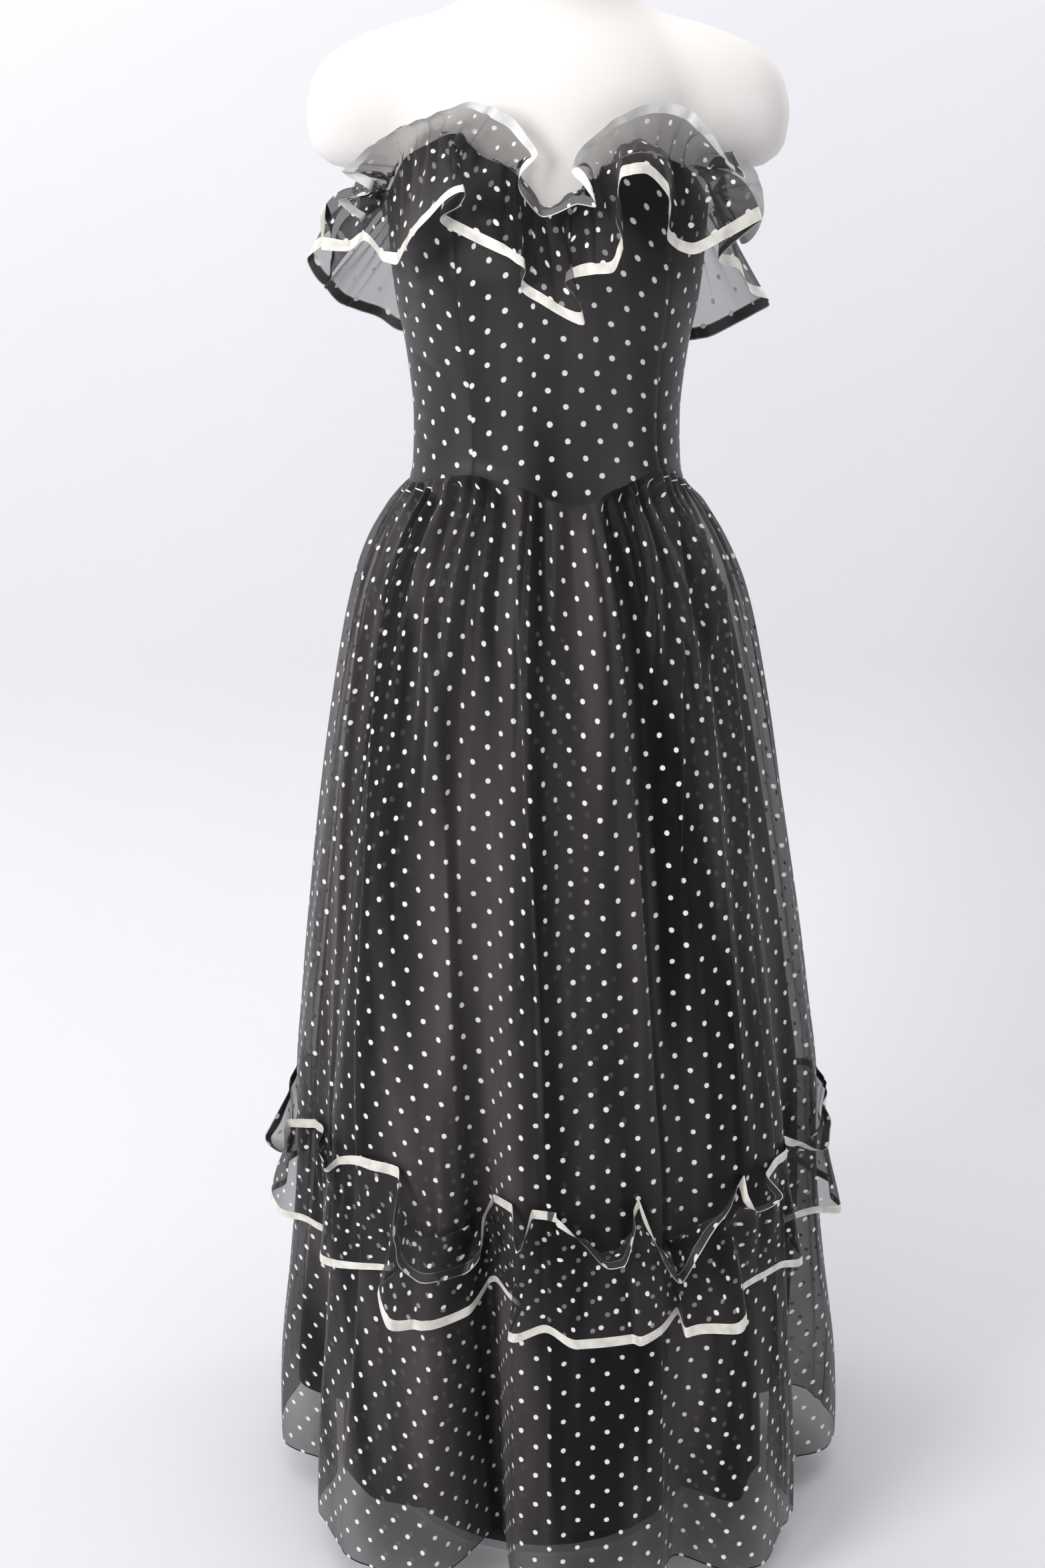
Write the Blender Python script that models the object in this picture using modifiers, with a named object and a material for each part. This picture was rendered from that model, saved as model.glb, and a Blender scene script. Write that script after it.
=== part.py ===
"""Strapless dotted gown with a ruffled neckline and a skirt flounce, on a limbless dress form.

Metres, +Z up, the gown's front towards -Y. The origin is the middle of the stand's underside.
An angle is measured round the gown in degrees, from the front (0) towards +X (90) and the back (180).
"""

import math
from collections import namedtuple

import bpy
import numpy as np

# Cloth and seams
CLOTH = 0.0012
LINING_CLOTH = 0.0010
RIBBON_CLOTH = 0.0008
SEAM_GAP = 0.0003
RIBBON_WIDTH = 0.009
FORM_CLEARANCE = 0.0020

# Widths that the two strips are cut to, above and below their gathering line
NECK_HEADER = 0.046
NECK_FALL = 0.084
FLOUNCE_HEADER = 0.046
FLOUNCE_FALL = 0.094
# How far each strip's gathered line stands off the bodice's and the bare skirt's surface
NECK_CLEARANCE = 0.0016
FLOUNCE_CLEARANCE = 0.0034

# Columns round each tube, two for each small gather. The flounce shares the skirt's,
# and the lining has every second one of them
SKIRT_COLUMNS = 92
NECK_COLUMNS = 104
BODICE_ROWS = 8

# How deep the small gathers are where the cloth is sewn down
WAIST_GATHER = 0.0035
NECK_GATHER = 0.0016
FLOUNCE_GATHER = 0.0018
# The most cloth that one column of a strip takes up in an arch
MOST_SPARE = 0.012

# The least share of its normal by which a fold's corner is moved, so that a sharp corner stays short
MOST_MITRE = 0.5

# The stand
NECK_TOP = 1.556
POLE_RADIUS = 0.0125
BASE_RADIUS = 0.160
BASE_HEIGHT = 0.014
COLLAR_RADIUS = 0.024
COLLAR_HEIGHT = 0.040
BASE_EDGE = 0.004
FORM_COLUMNS = 28
ROUND_STEPS = 32

HEM_HEIGHT = 0.040
LINING_HEM_HEIGHT = 0.100

# Outside of the gown at each height, before folds
Section = namedtuple("Section", "height half_width front back shift")
GOWN = (
    Section(0.030, 0.284, 0.268, 0.265, 0.011),
    Section(0.120, 0.282, 0.264, 0.260, 0.011),
    Section(0.250, 0.271, 0.248, 0.248, 0.011),
    Section(0.360, 0.262, 0.236, 0.236, 0.011),
    Section(0.4675, 0.256, 0.231, 0.229, 0.010),
    Section(0.551, 0.244, 0.219, 0.217, 0.008),
    Section(0.643, 0.231, 0.204, 0.202, 0.006),
    Section(0.792, 0.208, 0.180, 0.178, 0.003),
    Section(0.888, 0.190, 0.163, 0.158, 0.002),
    Section(0.964, 0.172, 0.145, 0.140, 0.001),
    Section(1.016, 0.152, 0.124, 0.119, 0.000),
    Section(1.045, 0.136, 0.108, 0.102, 0.000),
    Section(1.069, 0.1220, 0.094, 0.088, 0.000),
    Section(1.126, 0.1193, 0.095, 0.085, 0.000),
    Section(1.1865, 0.1250, 0.105, 0.088, 0.000),
    Section(1.2267, 0.1325, 0.118, 0.092, 0.000),
    Section(1.260, 0.1365, 0.126, 0.097, 0.000),
    Section(1.300, 0.1390, 0.124, 0.101, 0.000),
    Section(1.330, 0.1400, 0.115, 0.104, 0.000),
    Section(1.370, 0.1410, 0.104, 0.104, 0.000),
    Section(1.440, 0.1410, 0.090, 0.100, 0.000),
)

# The dress form where the gown doesn't touch it: its hips, and its chest up to the neck
HIPS = (
    Section(0.800, 0.136, 0.088, 0.098, 0.0),
    Section(0.806, 0.146, 0.097, 0.108, 0.0),
    Section(0.830, 0.154, 0.104, 0.116, 0.0),
    Section(0.880, 0.156, 0.106, 0.118, 0.0),
    Section(0.940, 0.148, 0.103, 0.112, 0.0),
    Section(1.000, 0.131, 0.096, 0.099, 0.0),
    Section(1.045, 0.1205, 0.0925, 0.088, 0.0),
)
CHEST = (
    Section(1.400, 0.137, 0.092, 0.100, 0.0),
    Section(1.430, 0.126, 0.078, 0.093, 0.0),
    Section(1.450, 0.108, 0.066, 0.084, 0.0),
    Section(1.465, 0.088, 0.058, 0.073, 0.0),
    Section(1.482, 0.070, 0.054, 0.062, 0.0),
    Section(1.505, 0.0595, 0.053, 0.056, 0.0),
    Section(1.546, 0.056, 0.054, 0.054, 0.0),
    Section(NECK_TOP, 0.050, 0.048, 0.048, 0.0),
)
# The short rounded stumps at the shoulders
Arm = namedtuple("Arm", "height reach half_depth")
ARMS = (
    Arm(1.326, 0.100, 0.020),
    Arm(1.336, 0.165, 0.028),
    Arm(1.345, 0.192, 0.037),
    Arm(1.360, 0.203, 0.047),
    Arm(1.385, 0.206, 0.050),
    Arm(1.410, 0.201, 0.048),
    Arm(1.430, 0.188, 0.043),
    Arm(1.446, 0.160, 0.036),
    Arm(1.458, 0.125, 0.028),
    Arm(1.470, 0.085, 0.018),
)
ARM_SQUARENESS = 3.2
ARM_BLEND = 20
FORM_HEIGHTS = (
    0.800, 0.808, 0.840, 0.900, 0.970, 1.030, 1.060, 1.090, 1.120, 1.160, 1.200, 1.250, 1.300, 1.328,
    1.342, 1.362, 1.390, 1.420, 1.441, 1.458, 1.476, 1.502, 1.546, NECK_TOP,
)

# Heights of the sewn lines round the gown
Height = namedtuple("Height", "angle height")
WAIST = (
    Height(-180, 1.070), Height(-90, 1.069), Height(-60, 1.078), Height(-33, 1.090), Height(-10, 1.081),
    Height(11, 1.066), Height(30, 1.079), Height(55, 1.090), Height(72, 1.080), Height(90, 1.069),
)
NECKLINE = (
    Height(-180, 1.270), Height(-140, 1.276), Height(-110, 1.290), Height(-90, 1.307), Height(-70, 1.330),
    Height(-58, 1.352), Height(-46, 1.363), Height(-33, 1.373), Height(-23, 1.356), Height(-13, 1.347),
    Height(-6, 1.326), Height(-1, 1.310), Height(6, 1.320), Height(14, 1.338), Height(22, 1.352),
    Height(32, 1.358), Height(48, 1.350), Height(59, 1.340), Height(68, 1.328), Height(90, 1.304),
    Height(110, 1.290), Height(140, 1.276),
)
FLOUNCE_LINE = (
    Height(-180, 0.404), Height(-120, 0.398), Height(-88, 0.392), Height(-50, 0.414), Height(-20, 0.409),
    Height(10, 0.404), Height(45, 0.403), Height(85, 0.409), Height(130, 0.402),
)

# The skirt's large folds: where each starts and ends, how wide it is, and how far it stands out
# (or in, below nought) at the hip, the knee, the flounce and the hem
Fold = namedtuple("Fold", "top_angle hem_angle half_angle hip knee flounce hem")
FOLD_HEIGHTS = (1.060, 0.900, 0.620, 0.380, 0.040)
FOLDS = (
    Fold(-84, -91, 17, 0.002, 0.003, 0.000, 0.008),
    Fold(-62, -70, 14, -0.006, -0.014, -0.028, -0.048),
    Fold(-42, -40, 18, 0.006, 0.012, -0.004, 0.018),
    Fold(-20, -16, 10, -0.009, -0.020, -0.046, -0.092),
    Fold(-4, -3, 8, 0.007, 0.013, 0.002, 0.004),
    Fold(12, 12, 13, 0.002, 0.004, 0.000, 0.010),
    Fold(25, 27, 8, -0.008, -0.015, -0.012, -0.034),
    Fold(34, 40, 13, 0.006, 0.010, 0.002, 0.022),
    Fold(64, 69, 13, -0.008, -0.017, -0.032, -0.050),
    Fold(84, 88, 15, 0.003, 0.005, 0.002, 0.016),
    Fold(110, 112, 11, -0.006, -0.014, -0.022, -0.044),
    Fold(128, 130, 13, 0.004, 0.010, 0.013, 0.016),
    Fold(148, 149, 10, -0.008, -0.018, -0.028, -0.064),
    Fold(166, 166, 12, 0.004, 0.009, 0.012, 0.014),
    Fold(-173, -175, 9, -0.007, -0.015, -0.024, -0.050),
    Fold(-154, -156, 13, 0.005, 0.010, 0.013, 0.016),
    Fold(-132, -134, 11, -0.008, -0.017, -0.027, -0.056),
    Fold(-112, -114, 12, 0.003, 0.008, 0.011, 0.012),
)
COUNTING_HEIGHT = 0.300
SKIRT_HEIGHTS = (1.047, 0.990, 0.880, 0.660, 0.400, 0.200)
LINING_HEIGHTS = (1.035, 0.950, 0.750, 0.420)
LINING_DROP = 0.004
# How deep the gathers are at each drop below the waist
GATHER_DROPS = (0.0, 0.03, 0.12, 0.28, 1.1)
GATHER_DEPTHS = (WAIST_GATHER, 0.0075, 0.0045, 0.0, 0.0)
# How far the lining hangs inside the skirt, whose deepest place within these angles counts
NEAR_ANGLES = (-4.0, -2.0, 0.0, 2.0, 4.0)
Inset = namedtuple("Inset", "height gap")
LINING_INSETS = (
    Inset(0.060, 0.016), Inset(0.600, 0.012), Inset(0.900, 0.009), Inset(1.035, 0.006), Inset(1.062, 0.0),
)

# The edges of the neckline ruffle: the place along the gathering line, then where the edge hangs
Edge = namedtuple("Edge", "seam angle out height")
NECK_LOWER = (
    Edge(-180, -180, 0.052, 1.190), Edge(-165, -167, 0.030, 1.186), Edge(-152, -152, 0.060, 1.188),
    Edge(-140, -141, 0.034, 1.180), Edge(-130, -129, 0.056, 1.184), Edge(-121, -123, 0.070, 1.198),
    Edge(-112, -113, 0.080, 1.212), Edge(-104, -105, 0.074, 1.232), Edge(-97, -95, 0.062, 1.247),
    Edge(-91, -84, 0.054, 1.268), Edge(-85, -77, 0.060, 1.284), Edge(-79, -70, 0.044, 1.276),
    Edge(-73, -64, 0.034, 1.286), Edge(-66, -58, 0.026, 1.270), Edge(-58, -50, 0.030, 1.270),
    Edge(-44, -34, 0.052, 1.304), Edge(-37, -27, 0.061, 1.325), Edge(-32.5, -22.5, 0.058, 1.331),
    Edge(-28.5, -22, 0.036, 1.316), Edge(-24, -21, 0.026, 1.298), Edge(-15, -10, 0.038, 1.281),
    Edge(-11, -6.5, 0.046, 1.275), Edge(-8, -8, 0.030, 1.256), Edge(-4, -2, 0.038, 1.246),
    Edge(1, 6, 0.053, 1.232), Edge(5, 7.5, 0.038, 1.244), Edge(9, 9, 0.026, 1.262),
    Edge(12, 11, 0.042, 1.270), Edge(15, 15.5, 0.052, 1.272), Edge(18, 19.5, 0.042, 1.290),
    Edge(21, 16.5, 0.054, 1.316), Edge(24, 17.5, 0.064, 1.346), Edge(29, 23, 0.062, 1.348),
    Edge(34, 29, 0.060, 1.332), Edge(38, 32, 0.046, 1.314), Edge(42, 36, 0.028, 1.292),
    Edge(48, 44, 0.034, 1.280), Edge(54, 51, 0.052, 1.293), Edge(61, 60, 0.066, 1.306),
    Edge(66, 66, 0.040, 1.276), Edge(72, 72, 0.032, 1.256), Edge(79, 80, 0.044, 1.238),
    Edge(86, 89, 0.056, 1.226), Edge(95, 98, 0.068, 1.216), Edge(106, 110, 0.068, 1.200),
    Edge(118, 119, 0.048, 1.182), Edge(128, 128, 0.036, 1.178), Edge(140, 141, 0.060, 1.186),
    Edge(153, 153, 0.032, 1.182), Edge(167, 167, 0.058, 1.190),
)
NECK_UPPER = (
    Edge(-180, -180, 0.022, 1.306), Edge(-164, -164, 0.034, 1.304), Edge(-148, -148, 0.018, 1.312),
    Edge(-132, -132, 0.036, 1.306), Edge(-116, -116, 0.022, 1.316), Edge(-103, -103, 0.036, 1.316),
    Edge(-92, -90, 0.026, 1.328), Edge(-84, -80, 0.040, 1.320), Edge(-77, -72, 0.036, 1.334),
    Edge(-70, -65, 0.050, 1.342), Edge(-62, -59, 0.050, 1.352), Edge(-54, -53, 0.038, 1.369),
    Edge(-47, -45, 0.026, 1.381), Edge(-40, -35, 0.021, 1.391), Edge(-34, -25, 0.020, 1.399),
    Edge(-28, -18, 0.019, 1.396), Edge(-22, -12, 0.017, 1.388), Edge(-17, -7, 0.015, 1.374),
    Edge(-13, -3.5, 0.015, 1.360), Edge(-9, -8, 0.028, 1.345), Edge(-5, -7, 0.034, 1.330),
    Edge(-1, -1.8, 0.020, 1.313), Edge(5, 7, 0.028, 1.324), Edge(9, 9.5, 0.034, 1.328),
    Edge(13, 12, 0.024, 1.344), Edge(18, 13, 0.016, 1.362), Edge(23, 15, 0.018, 1.376),
    Edge(27, 21, 0.020, 1.388), Edge(31, 27, 0.020, 1.394), Edge(35, 34, 0.020, 1.398),
    Edge(40, 41, 0.022, 1.396), Edge(46, 48, 0.025, 1.388), Edge(52, 53, 0.030, 1.373),
    Edge(58, 58, 0.038, 1.352), Edge(65, 65, 0.040, 1.362), Edge(73, 73, 0.048, 1.330),
    Edge(82, 82, 0.050, 1.304), Edge(91, 91, 0.036, 1.318), Edge(102, 102, 0.024, 1.326),
    Edge(116, 116, 0.036, 1.312), Edge(132, 132, 0.020, 1.314), Edge(148, 148, 0.034, 1.304),
    Edge(164, 164, 0.018, 1.310),
)

# The edges of the skirt's flounce, out from the folded skirt
FLOUNCE_LOWER = (
    Edge(-180, -180, 0.026, 0.318), Edge(-171, -171, 0.012, 0.314), Edge(-161, -161, 0.032, 0.318),
    Edge(-151, -151, 0.014, 0.314), Edge(-141, -141, 0.030, 0.320), Edge(-131, -131, 0.012, 0.316),
    Edge(-121, -121, 0.030, 0.318), Edge(-112, -112, 0.012, 0.314), Edge(-103, -103, 0.024, 0.318),
    Edge(-96, -96, 0.014, 0.318), Edge(-89, -89, 0.025, 0.322), Edge(-82, -82, 0.015, 0.328),
    Edge(-76, -75, 0.013, 0.331), Edge(-70, -70, 0.013, 0.325), Edge(-62, -62, 0.015, 0.326),
    Edge(-54, -54, 0.014, 0.332), Edge(-47, -44, 0.013, 0.346), Edge(-41, -37, 0.015, 0.352),
    Edge(-37, -33, 0.032, 0.334), Edge(-33, -30, 0.040, 0.324), Edge(-28, -27, 0.030, 0.321),
    Edge(-23, -23, 0.032, 0.321), Edge(-20, -19.5, 0.038, 0.325), Edge(-16, -16, 0.015, 0.342),
    Edge(-11, -11, 0.014, 0.356), Edge(-8, -9, 0.026, 0.328), Edge(-3, -3, 0.016, 0.326),
    Edge(3.5, 3.5, 0.022, 0.318), Edge(8.5, 8.5, 0.025, 0.316), Edge(14, 14, 0.022, 0.318),
    Edge(20, 20, 0.020, 0.326), Edge(24, 24, 0.038, 0.322), Edge(28.5, 28.5, 0.050, 0.317),
    Edge(33.5, 33.5, 0.044, 0.322), Edge(39, 39, 0.014, 0.338), Edge(45, 45, 0.016, 0.334),
    Edge(51, 51, 0.014, 0.335), Edge(58, 58, 0.024, 0.328), Edge(65, 65, 0.014, 0.333),
    Edge(73, 73, 0.013, 0.335), Edge(81, 81, 0.026, 0.327), Edge(87, 87, 0.014, 0.324),
    Edge(93, 93, 0.022, 0.322), Edge(102, 102, 0.012, 0.316), Edge(112, 112, 0.028, 0.318),
    Edge(121, 121, 0.012, 0.314), Edge(131, 131, 0.030, 0.318), Edge(141, 141, 0.012, 0.314),
    Edge(151, 151, 0.030, 0.318), Edge(160, 160, 0.012, 0.316), Edge(170, 170, 0.030, 0.318),
)
FLOUNCE_UPPER = (
    Edge(-180, -180, 0.012, 0.448), Edge(-169, -169, 0.036, 0.408), Edge(-158, -158, 0.012, 0.446),
    Edge(-146, -146, 0.038, 0.404), Edge(-134, -134, 0.012, 0.444), Edge(-122, -122, 0.036, 0.406),
    Edge(-110, -110, 0.012, 0.442), Edge(-98, -98, 0.013, 0.438), Edge(-92, -92, 0.012, 0.434),
    Edge(-85, -85, 0.020, 0.424), Edge(-77, -77, 0.017, 0.438), Edge(-72, -72, 0.011, 0.447),
    Edge(-66, -66, 0.020, 0.426), Edge(-59, -57, 0.013, 0.446), Edge(-53, -51, 0.011, 0.454),
    Edge(-47, -45, 0.009, 0.456), Edge(-40, -38, 0.010, 0.456), Edge(-35, -32.5, 0.026, 0.444),
    Edge(-30.5, -29.5, 0.046, 0.412), Edge(-26.5, -27, 0.042, 0.396), Edge(-21.5, -22, 0.041, 0.388),
    Edge(-17.5, -17, 0.044, 0.394), Edge(-15, -15, 0.042, 0.428), Edge(-11, -11, 0.010, 0.452),
    Edge(-7.5, -7.5, 0.036, 0.432), Edge(-4, -4, 0.011, 0.451), Edge(0, 0, 0.012, 0.450),
    Edge(4, 4.5, 0.034, 0.433), Edge(8.5, 8.8, 0.046, 0.415), Edge(12, 11.5, 0.044, 0.420),
    Edge(15.5, 15, 0.010, 0.448), Edge(19, 18.5, 0.042, 0.420), Edge(23, 22.5, 0.044, 0.392),
    Edge(27, 26.5, 0.047, 0.411), Edge(31, 31, 0.034, 0.432), Edge(36.5, 38, 0.010, 0.450),
    Edge(40, 39.5, 0.030, 0.438), Edge(43.5, 43.5, 0.037, 0.434), Edge(47.5, 47, 0.012, 0.447),
    Edge(53, 54, 0.009, 0.451), Edge(59, 60, 0.011, 0.452), Edge(65, 64.5, 0.030, 0.443),
    Edge(70, 70, 0.043, 0.429), Edge(75, 75, 0.034, 0.440), Edge(82, 82, 0.011, 0.450),
    Edge(92, 92, 0.013, 0.450), Edge(104, 104, 0.012, 0.446), Edge(116, 116, 0.038, 0.406),
    Edge(128, 128, 0.012, 0.446), Edge(141, 141, 0.036, 0.404), Edge(154, 154, 0.012, 0.448),
    Edge(168, 168, 0.036, 0.406),
)

# Where the bodice's seams run at the waist and at the neckline
Seam = namedtuple("Seam", "waist neckline")
LEFT_SIDE = Seam(-92, -95)
LEFT_PRINCESS = Seam(-33, -36)
RIGHT_PRINCESS = Seam(55, 46)
RIGHT_SIDE = Seam(94, 96)
Panel = namedtuple("Panel", "name start end columns")
PANELS = (
    Panel("bodice_center_front", LEFT_PRINCESS, RIGHT_PRINCESS, 14),
    Panel("bodice_side_front_left", LEFT_SIDE, LEFT_PRINCESS, 9),
    Panel("bodice_side_front_right", RIGHT_PRINCESS, RIGHT_SIDE, 8),
    Panel("bodice_back", RIGHT_SIDE, Seam(268, 265), 22),
)


def clear_scene():
    for thing in list(bpy.data.objects):
        bpy.data.objects.remove(thing)


def new_collection(name):
    collection = bpy.data.collections.new(name)
    bpy.context.scene.collection.children.link(collection)
    return collection


def new_material(name, color, roughness, metallic=0.0):
    material = bpy.data.materials.new(name)
    material.use_nodes = True
    shader = material.node_tree.nodes["Principled BSDF"]
    shader.inputs["Base Color"].default_value = (*color, 1.0)
    shader.inputs["Roughness"].default_value = roughness
    shader.inputs["Metallic"].default_value = metallic
    return material


def smooth(at, places, values):
    """A smooth curve through the values that never overshoots them (monotone cubic)."""
    places = np.asarray(places, float)
    values = np.asarray(values, float)
    step = np.diff(places)
    slope = np.diff(values) / step
    tangent = np.zeros_like(values)
    same_way = slope[:-1] * slope[1:] > 0
    weight_a = 2 * step[1:] + step[:-1]
    weight_b = step[1:] + 2 * step[:-1]
    safe_a = np.where(same_way, slope[:-1], 1.0)
    safe_b = np.where(same_way, slope[1:], 1.0)
    mean = (weight_a + weight_b) / (weight_a / safe_a + weight_b / safe_b)
    tangent[1:-1] = np.where(same_way, mean, 0.0)
    at = np.clip(at, places[0], places[-1])
    left = np.clip(np.searchsorted(places, at, side="right") - 1, 0, len(step) - 1)
    t = (at - places[left]) / step[left]
    span = step[left]
    start, end = values[left], values[left + 1]
    rise = (2 * t**3 - 3 * t**2 + 1) * start + (3 * t**2 - 2 * t**3) * end
    lean = (t**3 - 2 * t**2 + t) * tangent[left] + (t**3 - t**2) * tangent[left + 1]
    return rise + lean * span


def round_trip(angle, places, values):
    """The same curve closed round the gown."""
    places = np.asarray(places, float)
    wide = np.concatenate([places - 360, places, places + 360])
    return smooth((angle + 180) % 360 - 180, wide, np.tile(values, 3))


def line_height(rows, angle):
    return round_trip(angle, [row.angle for row in rows], [row.height for row in rows])


def section_at(rows, height):
    heights = [row.height for row in rows]
    return [smooth(height, heights, [getattr(row, name) for row in rows]) for name in Section._fields[1:]]


def on_gown(angle, height, out):
    """A point this far out from the gown's unfolded surface."""
    half_width, front, back, shift = section_at(GOWN, height)
    turn = np.radians(angle)
    sine, cosine = np.sin(turn), np.cos(turn)
    depth = np.where(cosine > 0, front, back)
    normal_x, normal_y = sine / half_width, -cosine / depth
    length = np.hypot(normal_x, normal_y)
    x = shift + half_width * sine + out * normal_x / length
    y = -depth * cosine + out * normal_y / length
    return np.stack(np.broadcast_arrays(x, y, height), axis=-1)


def fold_depth(angle, height):
    """How far the large folds stand out from the unfolded skirt."""
    total = np.zeros(np.broadcast(angle, height).shape)
    for fold in FOLDS:
        reach = (0.0, fold.hip, fold.knee, fold.flounce, fold.hem)
        depth = smooth(-height, [-z for z in FOLD_HEIGHTS], reach)
        fall = np.clip((FOLD_HEIGHTS[0] - height) / (FOLD_HEIGHTS[0] - FOLD_HEIGHTS[-1]), 0, 1)
        middle = fold.top_angle + (fold.hem_angle - fold.top_angle) * fall
        off = (angle - middle + 180) % 360 - 180
        total = total + depth * np.cos(np.clip(off / fold.half_angle, -1, 1) * math.pi / 2) ** 2
    return total


def on_skirt(angle, height, out):
    return on_gown(angle, height, out + fold_depth(angle, height))


def split_ways(grid, closed):
    """True for each square of a grid of points that is cut from its first corner, the shorter way across."""
    following = np.concatenate([grid[:, 1:], grid[:, :1]], axis=1) if closed else grid[:, 1:]
    here = grid if closed else grid[:, :-1]
    falling = np.linalg.norm(following[1:] - here[:-1], axis=-1)
    rising = np.linalg.norm(following[:-1] - here[1:], axis=-1)
    return falling <= rising


def grid_triangles(ways, columns):
    """Triangles of a grid whose rows run down and whose columns run towards +angle, facing outwards."""
    rows, squares = ways.shape
    index = np.arange((rows + 1) * columns).reshape(rows + 1, columns)
    index = np.concatenate([index, index[:, :1]], axis=1)[:, : squares + 1]
    a, b, c, d = index[:-1, :-1], index[:-1, 1:], index[1:, 1:], index[1:, :-1]
    first = np.where(ways[..., None], np.stack([a, d, c], -1), np.stack([a, d, b], -1))
    second = np.where(ways[..., None], np.stack([a, c, b], -1), np.stack([d, c, b], -1))
    return np.concatenate([first.reshape(-1, 3), second.reshape(-1, 3)]), index


def moved_out(grid, distance, closed, ways):
    """The grid moved along its normals, far enough that the cloth keeps its thickness round sharp folds."""
    points = grid.reshape(-1, 3)
    triangles, _ = grid_triangles(ways, grid.shape[1])
    corners = points[triangles]
    facing = np.cross(corners[:, 1] - corners[:, 0], corners[:, 2] - corners[:, 0])
    facing /= np.linalg.norm(facing, axis=-1, keepdims=True)
    total = np.zeros_like(points)
    for corner in range(3):
        np.add.at(total, triangles[:, corner], facing)
    total /= np.linalg.norm(total, axis=-1, keepdims=True)
    least = np.ones(len(points))
    for corner in range(3):
        agreement = np.sum(facing * total[triangles[:, corner]], axis=-1)
        np.minimum.at(least, triangles[:, corner], agreement)
    return (points + total * distance / np.maximum(least, MOST_MITRE)[:, None]).reshape(grid.shape)


def wall(name, outer, inner, ways, material, collection):
    """One closed body between two grids of points: a ring where it has as many squares as columns."""
    columns = outer.shape[1]
    closed = ways.shape[1] == columns
    skin, index = grid_triangles(ways, columns)
    count = outer.shape[0] * columns
    faces = [skin, skin[:, ::-1] + count]
    borders = [index[0], index[-1][::-1]]
    if not closed:
        borders += [index[::-1, 0], index[:, -1]]
    for border in borders:
        start, end = border[:-1], border[1:]
        faces.append(np.stack([start, end, end + count], axis=-1))
        faces.append(np.stack([start, end + count, start + count], axis=-1))
    points = np.concatenate([outer.reshape(-1, 3), inner.reshape(-1, 3)])
    new_body(name, points, np.concatenate(faces).tolist(), material, collection)


def new_body(name, points, faces, material, collection):
    mesh = bpy.data.meshes.new(name)
    mesh.from_pydata(points.tolist(), [], faces)
    mesh.materials.append(material)
    mesh.shade_smooth()
    mesh.set_sharp_from_angle(angle=math.radians(50))
    body = bpy.data.objects.new(name, mesh)
    collection.objects.link(body)


def halves(name, outer, inner, ways, cuts, material, collection):
    """Cuts a closed tube at two columns into a front and a back, a seam's gap apart."""
    columns = outer.shape[1]
    for side, start, end in (("front", cuts[0], cuts[1]), ("back", cuts[1], cuts[0] + columns)):
        pick = np.arange(start, end + 1) % columns
        pair = [grid[:, pick].copy() for grid in (outer, inner)]
        for grid in pair:
            for border, neighbour in ((0, 1), (-1, -2)):
                step = grid[:, neighbour] - grid[:, border]
                step /= np.linalg.norm(step, axis=-1, keepdims=True)
                grid[:, border] += step * SEAM_GAP
        wall(f"{name}_{side}", *pair, ways[:, pick[:-1]], material, collection)


def column_angles(count):
    return np.arange(count) * 360.0 / count - 180.0


def nearest_column(angles, angle):
    return int(np.argmin(np.abs((angles - angle + 180) % 360 - 180)))


def make_bodice(material, collection):
    """Four panels between the waist and the neckline, a seam's gap apart."""
    for panel in PANELS:
        across = np.linspace(0, 1, panel.columns + 1)
        up = np.linspace(1, 0, BODICE_ROWS + 1)[:, None]
        start = panel.start.waist + (panel.start.neckline - panel.start.waist) * up
        end = panel.end.waist + (panel.end.neckline - panel.end.waist) * up
        margin = math.degrees(SEAM_GAP / 2 / GOWN[-1].front)
        angle = start + margin + (end - start - 2 * margin) * across
        low = line_height(WAIST, angle) + SEAM_GAP / 2
        height = low + (line_height(NECKLINE, angle) - low) * up
        outer = on_gown(angle, height, 0.0)
        inner = on_gown(angle, height, -CLOTH)
        wall(panel.name, outer, inner, split_ways(outer, False), material, collection)


def skirt_angles():
    """Angles of the skirt's columns, evenly spaced along its folds at the height where they're counted."""
    fine = np.linspace(-180, 180, 3601)
    contour = on_skirt(fine, np.full_like(fine, COUNTING_HEIGHT), 0.0)
    along = np.concatenate([[0], np.cumsum(np.linalg.norm(np.diff(contour, axis=0), axis=1))])
    return np.interp(np.arange(SKIRT_COLUMNS) * along[-1] / SKIRT_COLUMNS, along, fine)


def tube_heights(angle, top, heights, hem):
    levels = [top] + [np.full_like(angle, height) for height in heights]
    return np.stack(levels + [np.full_like(angle, hem)])


def make_skirt(angle, cuts, material, collection):
    """Gathers at the waist that run out into the large folds."""
    waist = line_height(WAIST, angle) - SEAM_GAP / 2
    height = tube_heights(angle, waist, SKIRT_HEIGHTS, HEM_HEIGHT)
    odd = np.arange(SKIRT_COLUMNS) % 2
    gather = 2 * smooth(waist - height, GATHER_DROPS, GATHER_DEPTHS) * odd
    outer = on_skirt(angle, height, SEAM_GAP + CLOTH + gather)
    ways = split_ways(outer, True)
    inner = moved_out(outer, -CLOTH, True, ways)
    inner[[0, -1], :, 2] = outer[[0, -1], :, 2]
    halves("skirt", outer, inner, ways, cuts, material, collection)


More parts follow.
